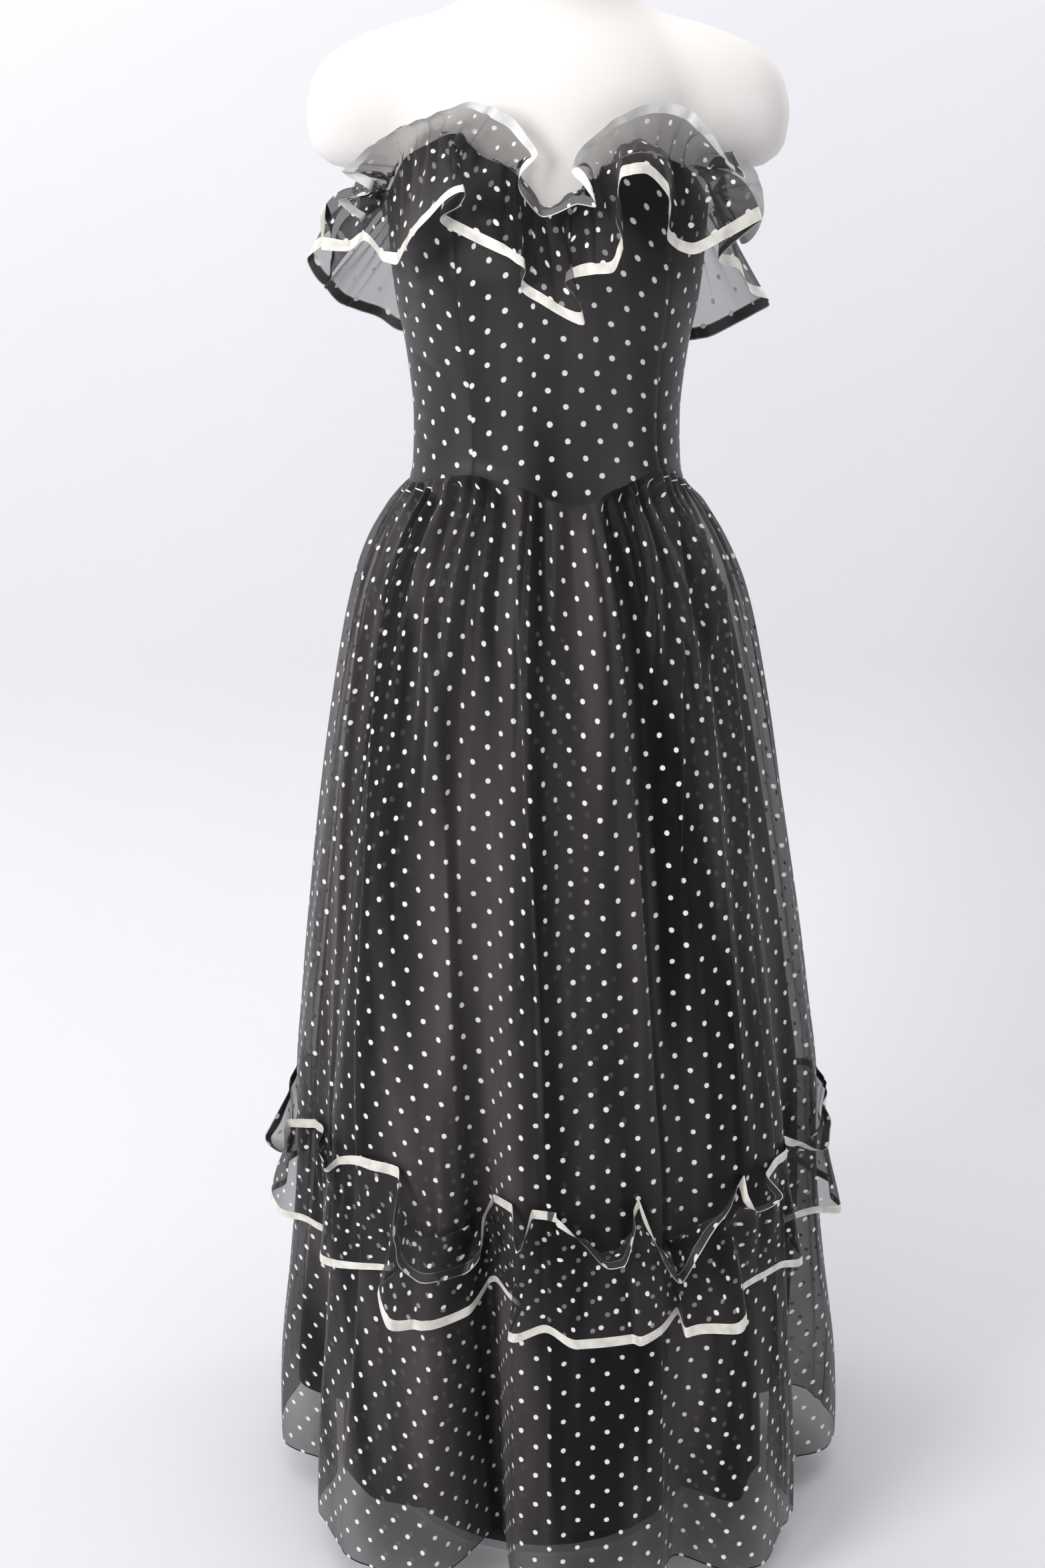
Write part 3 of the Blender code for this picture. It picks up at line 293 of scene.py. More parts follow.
FLOUNCE_UPPER = (
    Edge(-180, -180, 0.012, 0.448), Edge(-169, -169, 0.036, 0.408), Edge(-158, -158, 0.012, 0.446),
    Edge(-146, -146, 0.038, 0.404), Edge(-134, -134, 0.012, 0.444), Edge(-122, -122, 0.036, 0.406),
    Edge(-110, -110, 0.012, 0.442), Edge(-98, -98, 0.013, 0.438), Edge(-92, -92, 0.010, 0.435),
    Edge(-86, -81, 0.030, 0.418), Edge(-81, -70.5, 0.046, 0.421), Edge(-77, -76.5, 0.017, 0.440),
    Edge(-72, -71, 0.010, 0.448), Edge(-64, -60, 0.014, 0.453), Edge(-57, -52, 0.021, 0.453),
    Edge(-53, -50, 0.027, 0.450), Edge(-50.5, -49.3, 0.013, 0.458), Edge(-45, -44.5, 0.006, 0.464),
    Edge(-38, -38.3, 0.005, 0.468), Edge(-34.5, -33.8, 0.006, 0.469), Edge(-33, -31.6, 0.020, 0.458),
    Edge(-30.5, -29.2, 0.048, 0.420), Edge(-28.8, -28.8, 0.048, 0.402), Edge(-27, -27.5, 0.033, 0.377),
    Edge(-24.2, -24.2, 0.029, 0.368), Edge(-20.2, -20.2, 0.031, 0.365), Edge(-17.5, -16, 0.045, 0.393),
    Edge(-15.8, -15.2, 0.046, 0.429), Edge(-14.6, -15.2, 0.035, 0.438), Edge(-13.2, -13.8, 0.013, 0.450),
    Edge(-9.5, -9, 0.010, 0.455), Edge(-7, -7, 0.042, 0.429), Edge(-5, -5, 0.008, 0.452),
    Edge(-1.5, -0.5, 0.010, 0.450), Edge(0.8, 0.2, 0.017, 0.447), Edge(4.5, 4.5, 0.036, 0.432),
    Edge(8.5, 8.8, 0.048, 0.414), Edge(11, 11, 0.047, 0.414), Edge(13.4, 13.8, 0.031, 0.438),
    Edge(15, 14.8, 0.009, 0.447), Edge(16.5, 16.5, 0.005, 0.455), Edge(17.5, 17.2, 0.024, 0.441),
    Edge(19.2, 18.5, 0.047, 0.414), Edge(22.5, 22.5, 0.043, 0.381), Edge(25.8, 25.8, 0.050, 0.408),
    Edge(29.5, 30, 0.038, 0.429), Edge(34, 40.5, 0.006, 0.452), Edge(37, 38.5, 0.025, 0.441),
    Edge(39.5, 38.8, 0.036, 0.432), Edge(43.5, 45, 0.037, 0.435), Edge(46.5, 46, 0.011, 0.447),
    Edge(57, 57, 0.006, 0.452), Edge(60, 60, 0.005, 0.452), Edge(64, 63.2, 0.028, 0.444),
    Edge(70, 70, 0.047, 0.426), Edge(74.5, 74, 0.034, 0.441), Edge(80, 80, 0.010, 0.450),
    Edge(92, 92, 0.013, 0.450), Edge(104, 104, 0.012, 0.446), Edge(116, 116, 0.038, 0.406),
    Edge(128, 128, 0.012, 0.446), Edge(141, 141, 0.036, 0.404), Edge(154, 154, 0.012, 0.448),
    Edge(168, 168, 0.036, 0.406),
)

# Finer gathers of the skirt, in three sets: how many there are, and how deep each set is at each drop
# below the waist
GatherSet = namedtuple("GatherSet", "count seed depths")
SKIRT_DROPS = (0.0, 0.004, 0.015, 0.06, 0.15, 0.30, 0.60, 1.05)
SKIRT_GATHERS = (
    GatherSet(45, 3, (0.0006, 0.0026, 0.0070, 0.0085, 0.0048, 0.0014, 0.0003, 0.0002)),
    GatherSet(24, 8, (0.0000, 0.0000, 0.0014, 0.0060, 0.0085, 0.0056, 0.0022, 0.0024)),
    GatherSet(15, 5, (0.0000, 0.0000, 0.0000, 0.0012, 0.0040, 0.0060, 0.0042, 0.0062)),
)
# The skirt's top edge goes in under the bodice
TUCK = -0.0026
TUCK_DROP = 0.004
# How far in the skirt is drawn between its gathers
EVENING = 0.38

# Sharp creases down the skirt, where one fold lies over the next: their angles at four drops below the waist,
# how many degrees wide the gentle side is (below nought where the steep side is on the left) and the steep
# one, and how far each stands out at the gathers' drops
Crease = namedtuple("Crease", "angles gentle steep depths")
CREASE_DROPS = (0.0, 0.19, 0.43, 1.03)
CREASE_HOLLOW = 1.5
CREASES = (
    Crease((-43, -29.5, -23, -20), 10.0, 1.3, (0.0, 0.001, 0.003, 0.009, 0.0125, 0.0125, 0.010, 0.004)),
    Crease((-10, -6, -2.5, -1), -11.0, 1.6, (0.0, 0.001, 0.003, 0.008, 0.011, 0.011, 0.009, 0.003)),
    Crease((19, 20, 21, 21), 13.0, 1.2, (0.0, 0.001, 0.004, 0.010, 0.014, 0.013, 0.010, 0.003)),
    Crease((36, 25, 23.5, 24), -7.0, 1.3, (0.0, 0.001, 0.003, 0.008, 0.010, 0.009, 0.006, 0.002)),
    Crease((55, 35, 29, 28), 8.0, 1.2, (0.0, 0.001, 0.003, 0.006, 0.006, 0.005, 0.003, 0.001)),
    Crease((75, 46, 41, 40), -8.0, 1.4, (0.0, 0.000, 0.002, 0.005, 0.006, 0.005, 0.003, 0.001)),
    Crease((58, 62, 52, 51), 8.0, 1.2, (0.0, 0.000, 0.001, 0.003, 0.006, 0.006, 0.005, 0.002)),
    Crease((-58, -52, -47, -44), -8.0, 1.8, (0.0, 0.000, 0.002, 0.004, 0.006, 0.005, 0.004, 0.002)),
    Crease((-70, -66, -63, -62), 9.0, 1.4, (0.0, 0.000, 0.002, 0.004, 0.006, 0.006, 0.004, 0.002)),
    Crease((84, 80, 78, 78), -9.0, 1.5, (0.0, 0.000, 0.002, 0.004, 0.006, 0.006, 0.004, 0.002)),
    Crease((118, 121, 122, 122), 12.0, 1.4, (0.0, 0.000, 0.002, 0.005, 0.008, 0.008, 0.006, 0.003)),
    Crease((141, 140, 140, 140), -10.0, 1.5, (0.0, 0.000, 0.002, 0.004, 0.007, 0.007, 0.005, 0.003)),
    Crease((172, 170, 169, 168), 12.0, 1.3, (0.0, 0.001, 0.003, 0.006, 0.009, 0.008, 0.006, 0.003)),
    Crease((-163, -160, -159, -158), -9.0, 1.5, (0.0, 0.000, 0.002, 0.005, 0.007, 0.007, 0.005, 0.003)),
    Crease((-124, -126, -127, -127), 11.0, 1.4, (0.0, 0.000, 0.002, 0.005, 0.008, 0.007, 0.005, 0.003)),
)

# How closely the skirt's print follows the folds round them, how far it is moved up the cut from the hem,
# and how it evens out from row to row
FOLLOWS_FOLDS = 0.85
PRINT_DROP = 0.014
GRAIN_ROWS = (1, 2, 3, 2, 1)

# Seams of the bodice at the waist and at the neckline, and the panels between them
Seam = namedtuple("Seam", "waist neckline")
LEFT_SIDE = Seam(-92, -95)
LEFT_PRINCESS = Seam(-33, -36)
RIGHT_PRINCESS = Seam(55, 46)
RIGHT_SIDE = Seam(94, 96)
Panel = namedtuple("Panel", "node start end print_shift")
PANELS = (
    Panel("bodice_center_front", LEFT_PRINCESS, RIGHT_PRINCESS, 0.0),
    Panel("bodice_side_front_left", LEFT_SIDE, LEFT_PRINCESS, 0.0065),
    Panel("bodice_side_front_right", RIGHT_PRINCESS, RIGHT_SIDE, 0.0115),
    Panel("bodice_back", RIGHT_SIDE, Seam(268, 265), 0.0035),
)
# The print's rows arch over the bust: their curvature, per metre
PRINT_ARCH = 3.5
# The bodice's width round its angles, near enough to count its columns and to place its wrinkles
BODICE_RADIUS = 0.13
BODICE_DEGREE = 0.0023
# The bodice laps over the skirt at the waist, where its edge stands off by this much, up to this rise
WAIST_LAP = 0.0028
WAIST_LIP = 0.0018
LIP_RISE = 0.016
# The groove along its seams
SEAM_DIP = 0.0009
SEAM_REACH = 0.0022
# Rows of elastic across the back: their pitch, depth, puckers all round, and how each row's are moved on
SHIRRING_PITCH = 0.012
SHIRRING_DEPTH = 0.0016
SHIRRING_PUCKERS = 46
SHIRRING_STAGGER = 2.4
# Drag wrinkles of the bodice: where each is, how it tilts in degrees, and its size
Wrinkle = namedtuple("Wrinkle", "angle height tilt length width depth")
WRINKLES = (
    Wrinkle(-66, 1.262, 8, 0.020, 0.0035, 0.0020),
    Wrinkle(-60, 1.243, 14, 0.022, 0.0035, 0.0018),
    Wrinkle(-66, 1.222, 20, 0.020, 0.0032, 0.0016),
    Wrinkle(-58, 1.180, -12, 0.024, 0.0040, 0.0014),
    Wrinkle(-72, 1.130, 6, 0.018, 0.0032, 0.0016),
    Wrinkle(-64, 1.110, -6, 0.020, 0.0032, 0.0014),
    Wrinkle(62, 1.225, -18, 0.022, 0.0036, 0.0014),
    Wrinkle(70, 1.140, 10, 0.020, 0.0034, 0.0014),
)

# Any gather's fullness, and how far down it reaches, each between a least and a most, and its crest's roundness
GATHER_FULLNESS = (0.45, 1.0)
GATHER_FALL = (0.65, 1.5)
GATHER_ROUNDNESS = 0.85

# The strips' gathers on both sides of their stitches: how deep they are and how far they reach,
# the ripple that is left past them, and the finer puckers between them
STRIP_GATHER = 0.0052
STRIP_GATHER_REACH = 0.034
STRIP_RIPPLE = 0.0005
STRIP_PUCKER = 0.0016
STRIP_PUCKER_REACH = 0.014
STRIP_SWAY = 4.0
# How much a strip's lower edge, against its upper one, says where its columns of points lie
LOWER_EDGE_WEIGHT = 0.6

Strip = namedtuple("Strip", "name seat root_seat line lower upper header fall clearance gathers seed rests_on")

# The print on the cloth: dots in staggered columns, which wander a little
DOT_SPREAD = 0.030
DOT_RADIUS = 0.0025
DOT_WANDER = 0.0022
# How much finer a thread's slubs are along it than across
THREAD_SLUB = 0.04
# How far the print of a second layer lies off the first one's
BEHIND_SHIFT = (0.0068, 0.0095, 0)
HEM_ROLL = 0.0016

# How each organza looks: its cover from 0 to 1 seen square on, how far its paler panels differ from its
# dark ones (partly where the cloth lies doubled, partly painted light on folds that face the lamps), how much
# of the print behind shows through, and its gloss
Look = namedtuple("Look", "cover panels print_behind gloss")
SKIRT_LOOK = Look(0.62, 1.0, 0.60, 0.14)
RUFFLE_LOOK = Look(0.50, 0.5, 0.0, 0.14)
BODICE_LOOK = Look(1.0, 0.35, 0.0, 0.44)

# Colours
DARK_THREAD = (0.0020, 0.0018, 0.0022)
# Grey of the threads: the colour of their slubs, and also the painted sheen where the organza is seen at a
# slant
SHEEN_THREAD = (0.034, 0.030, 0.031)
# Colour of the paler panels: partly organza lying doubled, partly painted light on folds that face the lamps
DOUBLED_AND_LIT_PANEL = (0.112, 0.098, 0.100)
GHOST_DOT = (0.16, 0.15, 0.15)
DOT_WHITE = (0.88, 0.87, 0.84)
HEM_BLACK = (0.006, 0.006, 0.007)
LINING_BLACK = (0.007, 0.007, 0.008)
LINING_PALER = (0.014, 0.013, 0.014)
STITCH_BLACK = (0.003, 0.003, 0.003)
RIBBON_IVORY = (0.86, 0.83, 0.76)
RIBBON_DULL = (0.60, 0.58, 0.54)
RIBBON_WRONG = (0.16, 0.16, 0.16)
# The neck ruffle's upper ribbon is the same ivory satin; these paler colours are painted light, for it tilts
# away from the lamps
LIT_HEADER_IVORY = (0.95, 0.94, 0.90)
LIT_HEADER_DULL = (0.74, 0.76, 0.77)
LIT_HEADER_WRONG = (0.70, 0.71, 0.71)
JERSEY = (0.90, 0.855, 0.83)
JERSEY_PALER = (0.93, 0.895, 0.875)
# Painted shade on the form up its neck, between the two heights below
JERSEY_NECK_SHADE = (0.84, 0.72, 0.66)
NECK_SHADE_HEIGHTS = (1.47, 1.53)
STEEL = (0.60, 0.60, 0.62)
STEEL_PALER = (0.78, 0.78, 0.79)
PAPER = (0.84, 0.84, 0.87)
PAPER_SHADE = 0.965

# The studio: a paper sweep, whose far edge curves up in short steps into a backdrop
FLOOR_WIDTH = 9.0
FLOOR_LENGTH = 10.0
FLOOR_SHIFT = 4.30
CURVE_STEPS = 8
CURVE_STEP = 0.10
BACKDROP_RISE = 2.6
Softbox = namedtuple("Softbox", "name place aim size power")
SOFTBOXES = (
    Softbox("softbox_left", (-2.4, -2.2, 2.3), (0, 0, 1.1), (1.4, 1.8), 82.0),
    Softbox("softbox_right", (2.3, -2.3, 1.1), (0, 0, 1.0), (1.6, 2.0), 14.0),
    Softbox("softbox_above", (0.0, -1.4, 3.4), (0, 0, 0.9), (2.4, 1.6), 16.0),
    Softbox("backdrop_light", (0.0, -0.2, 3.6), (0, 1.6, 1.0), (3.0, 0.8), 26.0),
    Softbox("rear_left", (-1.7, 1.0, 2.1), (0, 0.1, 0.9), (0.8, 1.4), 14.0),
    Softbox("rear_right", (1.7, 1.0, 2.1), (0, 0.1, 0.9), (0.8, 1.4), 14.0),
)
# The room lights the gown by the first strength, and looks as bright as the second
ROOM_COLOR = (0.95, 0.96, 1.0, 1.0)
ROOM_LIGHT = 0.18
ROOM_BRIGHTNESS = 0.66
CAMERA_PLACE = (-0.0217, -1.94, 1.50)
CAMERA_DOWN = 20.6
CAMERA_LENS = 49.84
CAMERA_FILM = 36.0


# Curves and surfaces

def smooth(at, places, values):
    """A smooth curve through the values that never overshoots them (monotone cubic)."""
    places = np.asarray(places, float)
    values = np.asarray(values, float)
    step = np.diff(places)
    slope = np.diff(values) / step
    tangent = np.zeros_like(values)
    same_way = slope[:-1] * slope[1:] > 0
    weight_a = 2 * step[1:] + step[:-1]
    weight_b = step[1:] + 2 * step[:-1]
    safe_a = np.where(same_way, slope[:-1], 1.0)
    safe_b = np.where(same_way, slope[1:], 1.0)
    mean = (weight_a + weight_b) / (weight_a / safe_a + weight_b / safe_b)
    tangent[1:-1] = np.where(same_way, mean, 0.0)
    at = np.clip(at, places[0], places[-1])
    left = np.clip(np.searchsorted(places, at, side="right") - 1, 0, len(step) - 1)
    t = (at - places[left]) / step[left]
    start, end = values[left], values[left + 1]
    rise = (2 * t**3 - 3 * t**2 + 1) * start + (3 * t**2 - 2 * t**3) * end
    lean = (t**3 - 2 * t**2 + t) * tangent[left] + (t**3 - t**2) * tangent[left + 1]
    return rise + lean * step[left]


def turned(angle):
    """The same angle between -180 and 180."""
    return (angle + 180) % 360 - 180


def round_trip(angle, places, values):
    """A smooth curve through the values, closed round the gown."""
    places = np.asarray(places, float)
    wide = np.concatenate([places - 360, places, places + 360])
    return smooth(turned(angle), wide, np.tile(values, 3))


def ease(t):
    """From 0 to 1, gently at both ends."""
    t = np.clip(t, 0, 1)
    return t * t * (3 - 2 * t)


def column(rows, name):
    """One named column of a table."""
    return [getattr(row, name) for row in rows]


def line_height(rows, angle):
    """Height of a sewn line at an angle."""
    return round_trip(angle, column(rows, "angle"), column(rows, "height"))


def section_at(rows, height):
    """Half width, front, back and shift of a table of sections, at a height."""
    heights = column(rows, "height")
    return [smooth(height, heights, column(rows, name)) for name in Section._fields[1:]]


def on_gown(angle, height, out):
    """A point this far out from the gown's unfolded surface."""
    half_width, front, back, shift = section_at(GOWN, height)
    turn = np.radians(angle)
    sine, cosine = np.sin(turn), np.cos(turn)
    depth = np.where(cosine > 0, front, back)
    normal_x, normal_y = sine / half_width, -cosine / depth
    length = np.hypot(normal_x, normal_y)
    x = shift + half_width * sine + out * normal_x / length
    y = -depth * cosine + out * normal_y / length
    return np.stack(np.broadcast_arrays(x, y, height), axis=-1)


def fold_depth(angle, height):
    """How far the large folds stand out from the unfolded skirt."""
    total = np.zeros(np.broadcast(angle, height).shape)
    for fold in FOLDS:
        reach = (0.0, fold.hip, fold.knee, fold.flounce, fold.hem)
        depth = smooth(-height, [-level for level in FOLD_HEIGHTS], reach)
        fall = np.clip((FOLD_HEIGHTS[0] - height) / (FOLD_HEIGHTS[0] - FOLD_HEIGHTS[-1]), 0, 1)
        off = turned(angle - fold.top_angle - (fold.hem_angle - fold.top_angle) * fall)
        total = total + depth * np.cos(np.clip(off / fold.half_angle, -1, 1) * math.pi / 2) ** 2
    return total


def gather_wave(angle, drop, count, seed, unevenness=0.55, sway=1.1):
    """Uneven rounded gathers, 0 in the valleys and up to 1 on the crests, and how far down each one reaches.

    Each gather leans a little as it falls.
    """
    random = np.random.default_rng(seed)
    crest = np.arange(count) + random.uniform(-unevenness / 2, unevenness / 2, count)
    full = random.uniform(*GATHER_FULLNESS, count)
    lean = random.uniform(-sway, sway, count)
    fall = random.uniform(*GATHER_FALL, count)
    place = (np.asarray(angle) + 180) / 360 * count % count
    index = np.arange(-2, count + 2)
    wave = np.empty(drop.shape)
    longer = np.empty(drop.shape)
    for row in range(drop.shape[0]):
        moved = crest + lean * drop[row].mean()
        around = moved[index % count] + np.floor_divide(index, count) * count
        phase = np.interp(place, around, index)
        nearest = np.rint(phase).astype(int) % count
        wave[row] = (0.5 + 0.5 * np.cos(2 * math.pi * phase)) ** GATHER_ROUNDNESS * full[nearest]
        longer[row] = fall[nearest]
    return wave, longer


def gathers_out(angle, drop):
    """How far the skirt's finer gathers stand out. The first set is sewn into the waist seam all round."""
    out = np.zeros(drop.shape)
    for number, gathers in enumerate(SKIRT_GATHERS):
        wave, longer = gather_wave(angle, drop, gathers.count, gathers.seed)
        depth = smooth(drop / longer, SKIRT_DROPS, gathers.depths)
        if number == 0:
            sewn = smooth(drop, SKIRT_DROPS[:3], gathers.depths[:3])
            depth = np.where(drop < SKIRT_DROPS[1], sewn, depth)
        else:
            out = out - EVENING * smooth(drop, SKIRT_DROPS, gathers.depths)
        out = out + depth * wave
    return out


def creases_out(angle, drop):
    """How far the skirt's sharp creases stand out."""
    out = np.zeros(drop.shape)
    for crease in CREASES:
        depth = smooth(drop, SKIRT_DROPS, crease.depths)
        middle = smooth(drop, CREASE_DROPS, crease.angles)
        off = turned(angle - middle) * math.copysign(1, crease.gentle)
        gentle = ease(1 + off / abs(crease.gentle)) ** CREASE_HOLLOW
        out = out + depth * np.where(off < 0, gentle, ease(1 - off / crease.steep))
    return out


def skirt_out(angle, height):
    """How far the skirt stands out from its unfolded surface: large folds, gathers and creases."""
    drop = np.maximum(line_height(WAIST, angle) - height, 0.0)
    out = fold_depth(angle, height) + gathers_out(angle, drop) + creases_out(angle, drop)
    return out + TUCK * (1 - ease(drop / TUCK_DROP))


def on_folds(angle, height, out):
    """A point this far out from the skirt's large folds."""
    return on_gown(angle, height, out + fold_depth(angle, height))


def on_skirt(angle, height, out):
    """A row of points this far out from the gathered skirt."""
    return on_gown(angle, height, out + skirt_out(angle, height[None])[0])


# Making cloth

def hung(name, worn, u, v):
    """A grid of cloth whose points are moved to where it hangs. Its UV map is the cut, in metres."""
    rows, columns = worn.shape[:2]
    bpy.ops.mesh.primitive_grid_add(x_subdivisions=columns - 1, y_subdivisions=rows - 1, size=1)
    piece = bpy.context.object
    piece.name = name
    mesh = piece.data
    mesh.name = name
    flat = np.empty(len(mesh.vertices) * 3)
    mesh.vertices.foreach_get("co", flat)
    flat = flat.reshape(-1, 3)
    across = np.rint((flat[:, 0] + 0.5) * (columns - 1)).astype(int)
    down = np.rint((0.5 - flat[:, 1]) * (rows - 1)).astype(int)
    mesh.vertices.foreach_set("co", worn[down, across].ravel())
    corners = np.empty(len(mesh.loops), int)
    mesh.loops.foreach_get("vertex_index", corners)
    cut = np.stack(np.broadcast_arrays(u, v), axis=-1)
    mesh.uv_layers[0].data.foreach_set("uv", cut[down[corners], across[corners]].ravel())
    mesh.update()
    bpy.ops.object.shade_smooth()
    bpy.ops.object.select_all(action="DESELECT")
    return piece


def dress(piece, material, node):
    """Gives a piece its cloth, hides the solid it stands for, and attaches it to the root body."""
    piece.data.materials.clear()
    piece.data.materials.append(material)
    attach(piece, "root")
    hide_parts(node)


def lengths(points):
    """Distance along each row of points, from its first."""
    steps = np.linalg.norm(np.diff(points, axis=1), axis=-1)
    return np.concatenate([np.zeros((points.shape[0], 1)), np.cumsum(steps, axis=1)], axis=1)


def mean_fall(worn):
    """Distance down the cloth from its top row to each row, as a mean of its columns."""
    return lengths(worn.transpose(1, 0, 2)).mean(axis=0)


def unit(vectors):
    return vectors / np.linalg.norm(vectors, axis=-1, keepdims=True)


def facing(grid):
    """Outward normals of a grid whose rows run down and whose columns run towards +angle."""
    normal = np.cross(np.gradient(grid, axis=0), np.gradient(grid, axis=1))
    return normal / np.maximum(np.linalg.norm(normal, axis=-1, keepdims=True), 1e-9)


def even_angles(start, end, count, contour):
    """Angles from start to end that are evenly spaced along a line on the gown."""
    fine = np.linspace(start, end, FINE_STEPS)
    along = lengths(contour(fine)[None])[0]
    return np.interp(np.linspace(0, along[-1], count), along, fine)


def round_the_folds(along):
    """Each point's share of its row's length, evened out over the rows above and below."""
    share = along / along[:, -1:]
    reach = len(GRAIN_ROWS) // 2
    padded = np.concatenate([share[:1]] * reach + [share] + [share[-1:]] * reach)
    total = sum(weight * padded[row : row + len(share)] for row, weight in enumerate(GRAIN_ROWS))
    return total / sum(GRAIN_ROWS)


def make_lining_half(side, start, end, materials):
    """Half of the black lining, a plain tube inside the skirt."""

    def unfolded_line(fine):
        return on_gown(fine, LINING_COUNTING_HEIGHT, np.zeros_like(fine))

    angle = even_angles(start, end, LINING_COLUMNS // 2, unfolded_line)
    waist = line_height(WAIST, angle) - LINING_DROP
    height = waist + (LINING_HEM_HEIGHT - waist) * np.linspace(0, 1, LINING_ROWS)[:, None]
    deepest = np.minimum.reduce([fold_depth(angle + near, height) for near in NEAR_ANGLES])
    gap = smooth(height, column(LINING_INSETS, "height"), column(LINING_INSETS, "gap"))
    drop = waist - height
    wave, _ = gather_wave(angle, drop, LINING_WAVES, LINING_SEED)
    soft = LINING_WAVE_DEPTH * ease(drop / LINING_WAVE_DROP) * (wave - LINING_WAVE_CREST)
    beside = np.exp(-(((angle - HOLLOW_ANGLE) / HOLLOW_REACH) ** 2))
    hollow = HOLLOW_DEPTH * ease((HOLLOW_TOP - height) / HOLLOW_EASE) * beside
    worn = on_gown(angle, height, deepest - gap - LINING_CLOTH + soft - hollow)
    along = lengths(worn)
    down = mean_fall(worn)
    piece = hung(f"lining_{side}_cloth", worn, along[-1] * LINING_EASE, (down[-1] - down)[:, None])
    dress(piece, materials["lining"], f"lining_{side}")


def make_skirt_half(side, start, end, materials):
    """Half of the skirt: gathered at the waist, falling in folds to its hem."""

    def folded_line(fine):
        return on_folds(fine, np.full_like(fine, SKIRT_COUNTING_HEIGHT), 0.0)

    angle = even_angles(start, end, SKIRT_COLUMNS // 2, folded_line)
    waist = line_height(WAIST, angle) - SEAM_GAP / 2
    height = waist + (HEM_HEIGHT - waist) * np.linspace(0, 1, SKIRT_ROWS)[:, None] ** SKIRT_CROWDING
    worn = on_gown(angle, height, SEAM_GAP + CLOTH + skirt_out(angle, height))
    along = lengths(worn)
    fallen = 1 - height.mean(axis=1, keepdims=True) / WAIST_HEIGHT
    width = along[:, -1:] * (SKIRT_EASE + WAIST_EASE * np.exp(-fallen * WAIST_EASE_FADE))
    share = round_the_folds(along) * FOLLOWS_FOLDS + (angle - start) / (end - start) * (1 - FOLLOWS_FOLDS)
    middle = share[:, np.searchsorted(angle, start / 2 + end / 2)][:, None]
    down = mean_fall(worn)
    piece = hung(f"skirt_{side}_cloth", worn, width * (share - middle), (down[-1] - down)[:, None] + PRINT_DROP)
    dress(piece, materials["organza"], f"skirt_{side}")


def shirring(angle, rise):
    """How far the rows of elastic draw the back in, this far above its lower edge."""
    row = np.floor(rise / SHIRRING_PITCH)
    pucker = np.cos(np.radians(angle) * SHIRRING_PUCKERS + row * SHIRRING_STAGGER)
    between = np.sin(math.pi * rise / SHIRRING_PITCH) ** 2
    return SHIRRING_DEPTH * between * (0.5 - 0.5 * pucker)


def wrinkling(angle, height):
    """How far the short drag wrinkles beside the bust draw the bodice in."""
    total = np.zeros(angle.shape)
    for wrinkle in WRINKLES:
        tilt = np.radians(wrinkle.tilt)
        sideways = (angle - wrinkle.angle) * BODICE_DEGREE
        upward = height - wrinkle.height
        across = -sideways * np.sin(tilt) + upward * np.cos(tilt)
        beside = sideways * np.cos(tilt) + upward * np.sin(tilt)
        fade = np.exp(-((across / wrinkle.width) ** 2) - (beside / wrinkle.length) ** 2)
        total = total + wrinkle.depth * fade
    return total


def make_bodice_panel(panel, materials):
    """One panel of the bodice, drawn smoothly over the form. The back is shirred on rows of elastic."""
    width = math.radians(abs(panel.end.waist - panel.start.waist)) * BODICE_RADIUS
    columns = int(width / BODICE_STEP) + 2
    up = np.linspace(1, 0, BODICE_ROWS)[:, None]
    start = panel.start.waist + (panel.start.neckline - panel.start.waist) * up
    end = panel.end.waist + (panel.end.neckline - panel.end.waist) * up
    angle = start + (end - start) * np.linspace(0, 1, columns)
    low = line_height(WAIST, angle) - WAIST_LAP
    height = low + (line_height(NECKLINE, angle) - low) * up
    along = lengths(on_gown(angle, height, 0.0))
    near_seam = np.minimum(along, along[:, -1:] - along)
    lip = WAIST_LIP * (1 - ease((height - low) / LIP_RISE))
    out = lip - SEAM_DIP * np.exp(-((near_seam / SEAM_REACH) ** 2))
    out = out - (shirring(angle, height - low) if panel.node == "bodice_back" else wrinkling(angle, height))
    u = along - along[:, -1:] / 2 + panel.print_shift
    v = height - HEM_HEIGHT + panel.print_shift + PRINT_ARCH * u**2 / 2
    piece = hung(f"{panel.node}_cloth", on_gown(angle, height, out), u, v)
    dress(piece, materials["bodice"], panel.node)


def edge_points(rows, seam, seat):
    """Points along a strip's free edge, for places along its gathering line."""
    seams = column(rows, "seam")
    angle = seam + round_trip(seam, seams, [row.angle - row.seam for row in rows])
    out = round_trip(seam, seams, column(rows, "out"))
    height = round_trip(seam, seams, column(rows, "height"))
    return seat(angle, height, out)


def arched(start, end, width, fractions, outward):
    """Rows of cloth of a set width from start to end; what is longer than the straight line arches out."""
    chord = end - start
    length = np.linalg.norm(chord, axis=-1, keepdims=True)
    reach = np.sum(chord * outward, axis=-1, keepdims=True)
    spare = np.clip(width - length, 0, MOST_SPARE)
    rise = np.sqrt(3 * length * spare / 8) * np.clip(2 * (reach / length) ** 2, 0, 1)
    lift = unit(-chord[:, 2:] * outward + reach * np.array([0.0, 0.0, 1.0]))
    return [start + chord * t + lift * rise * 4 * t * (1 - t) for t in fractions]


def strip_rows(strip):
    """Distances of a strip's rows of points from its gathering line, above it (positive) and below.

    Both edges have RIBBON_ROWS rows under their ribbon.
    """
    top_ribbon = strip.header * (1 - np.linspace(0, RIBBON_WIDTH / strip.header, RIBBON_ROWS))
    header = np.linspace(strip.header - RIBBON_WIDTH, 0, HEADER_ROWS)[1:-1]
    inner = 1 - RIBBON_WIDTH / strip.fall
    fall = np.concatenate([np.linspace(0, inner, FALL_ROWS)[:-1], np.linspace(inner, 1, RIBBON_ROWS)])
    return np.concatenate([top_ribbon, header, -strip.fall * fall])


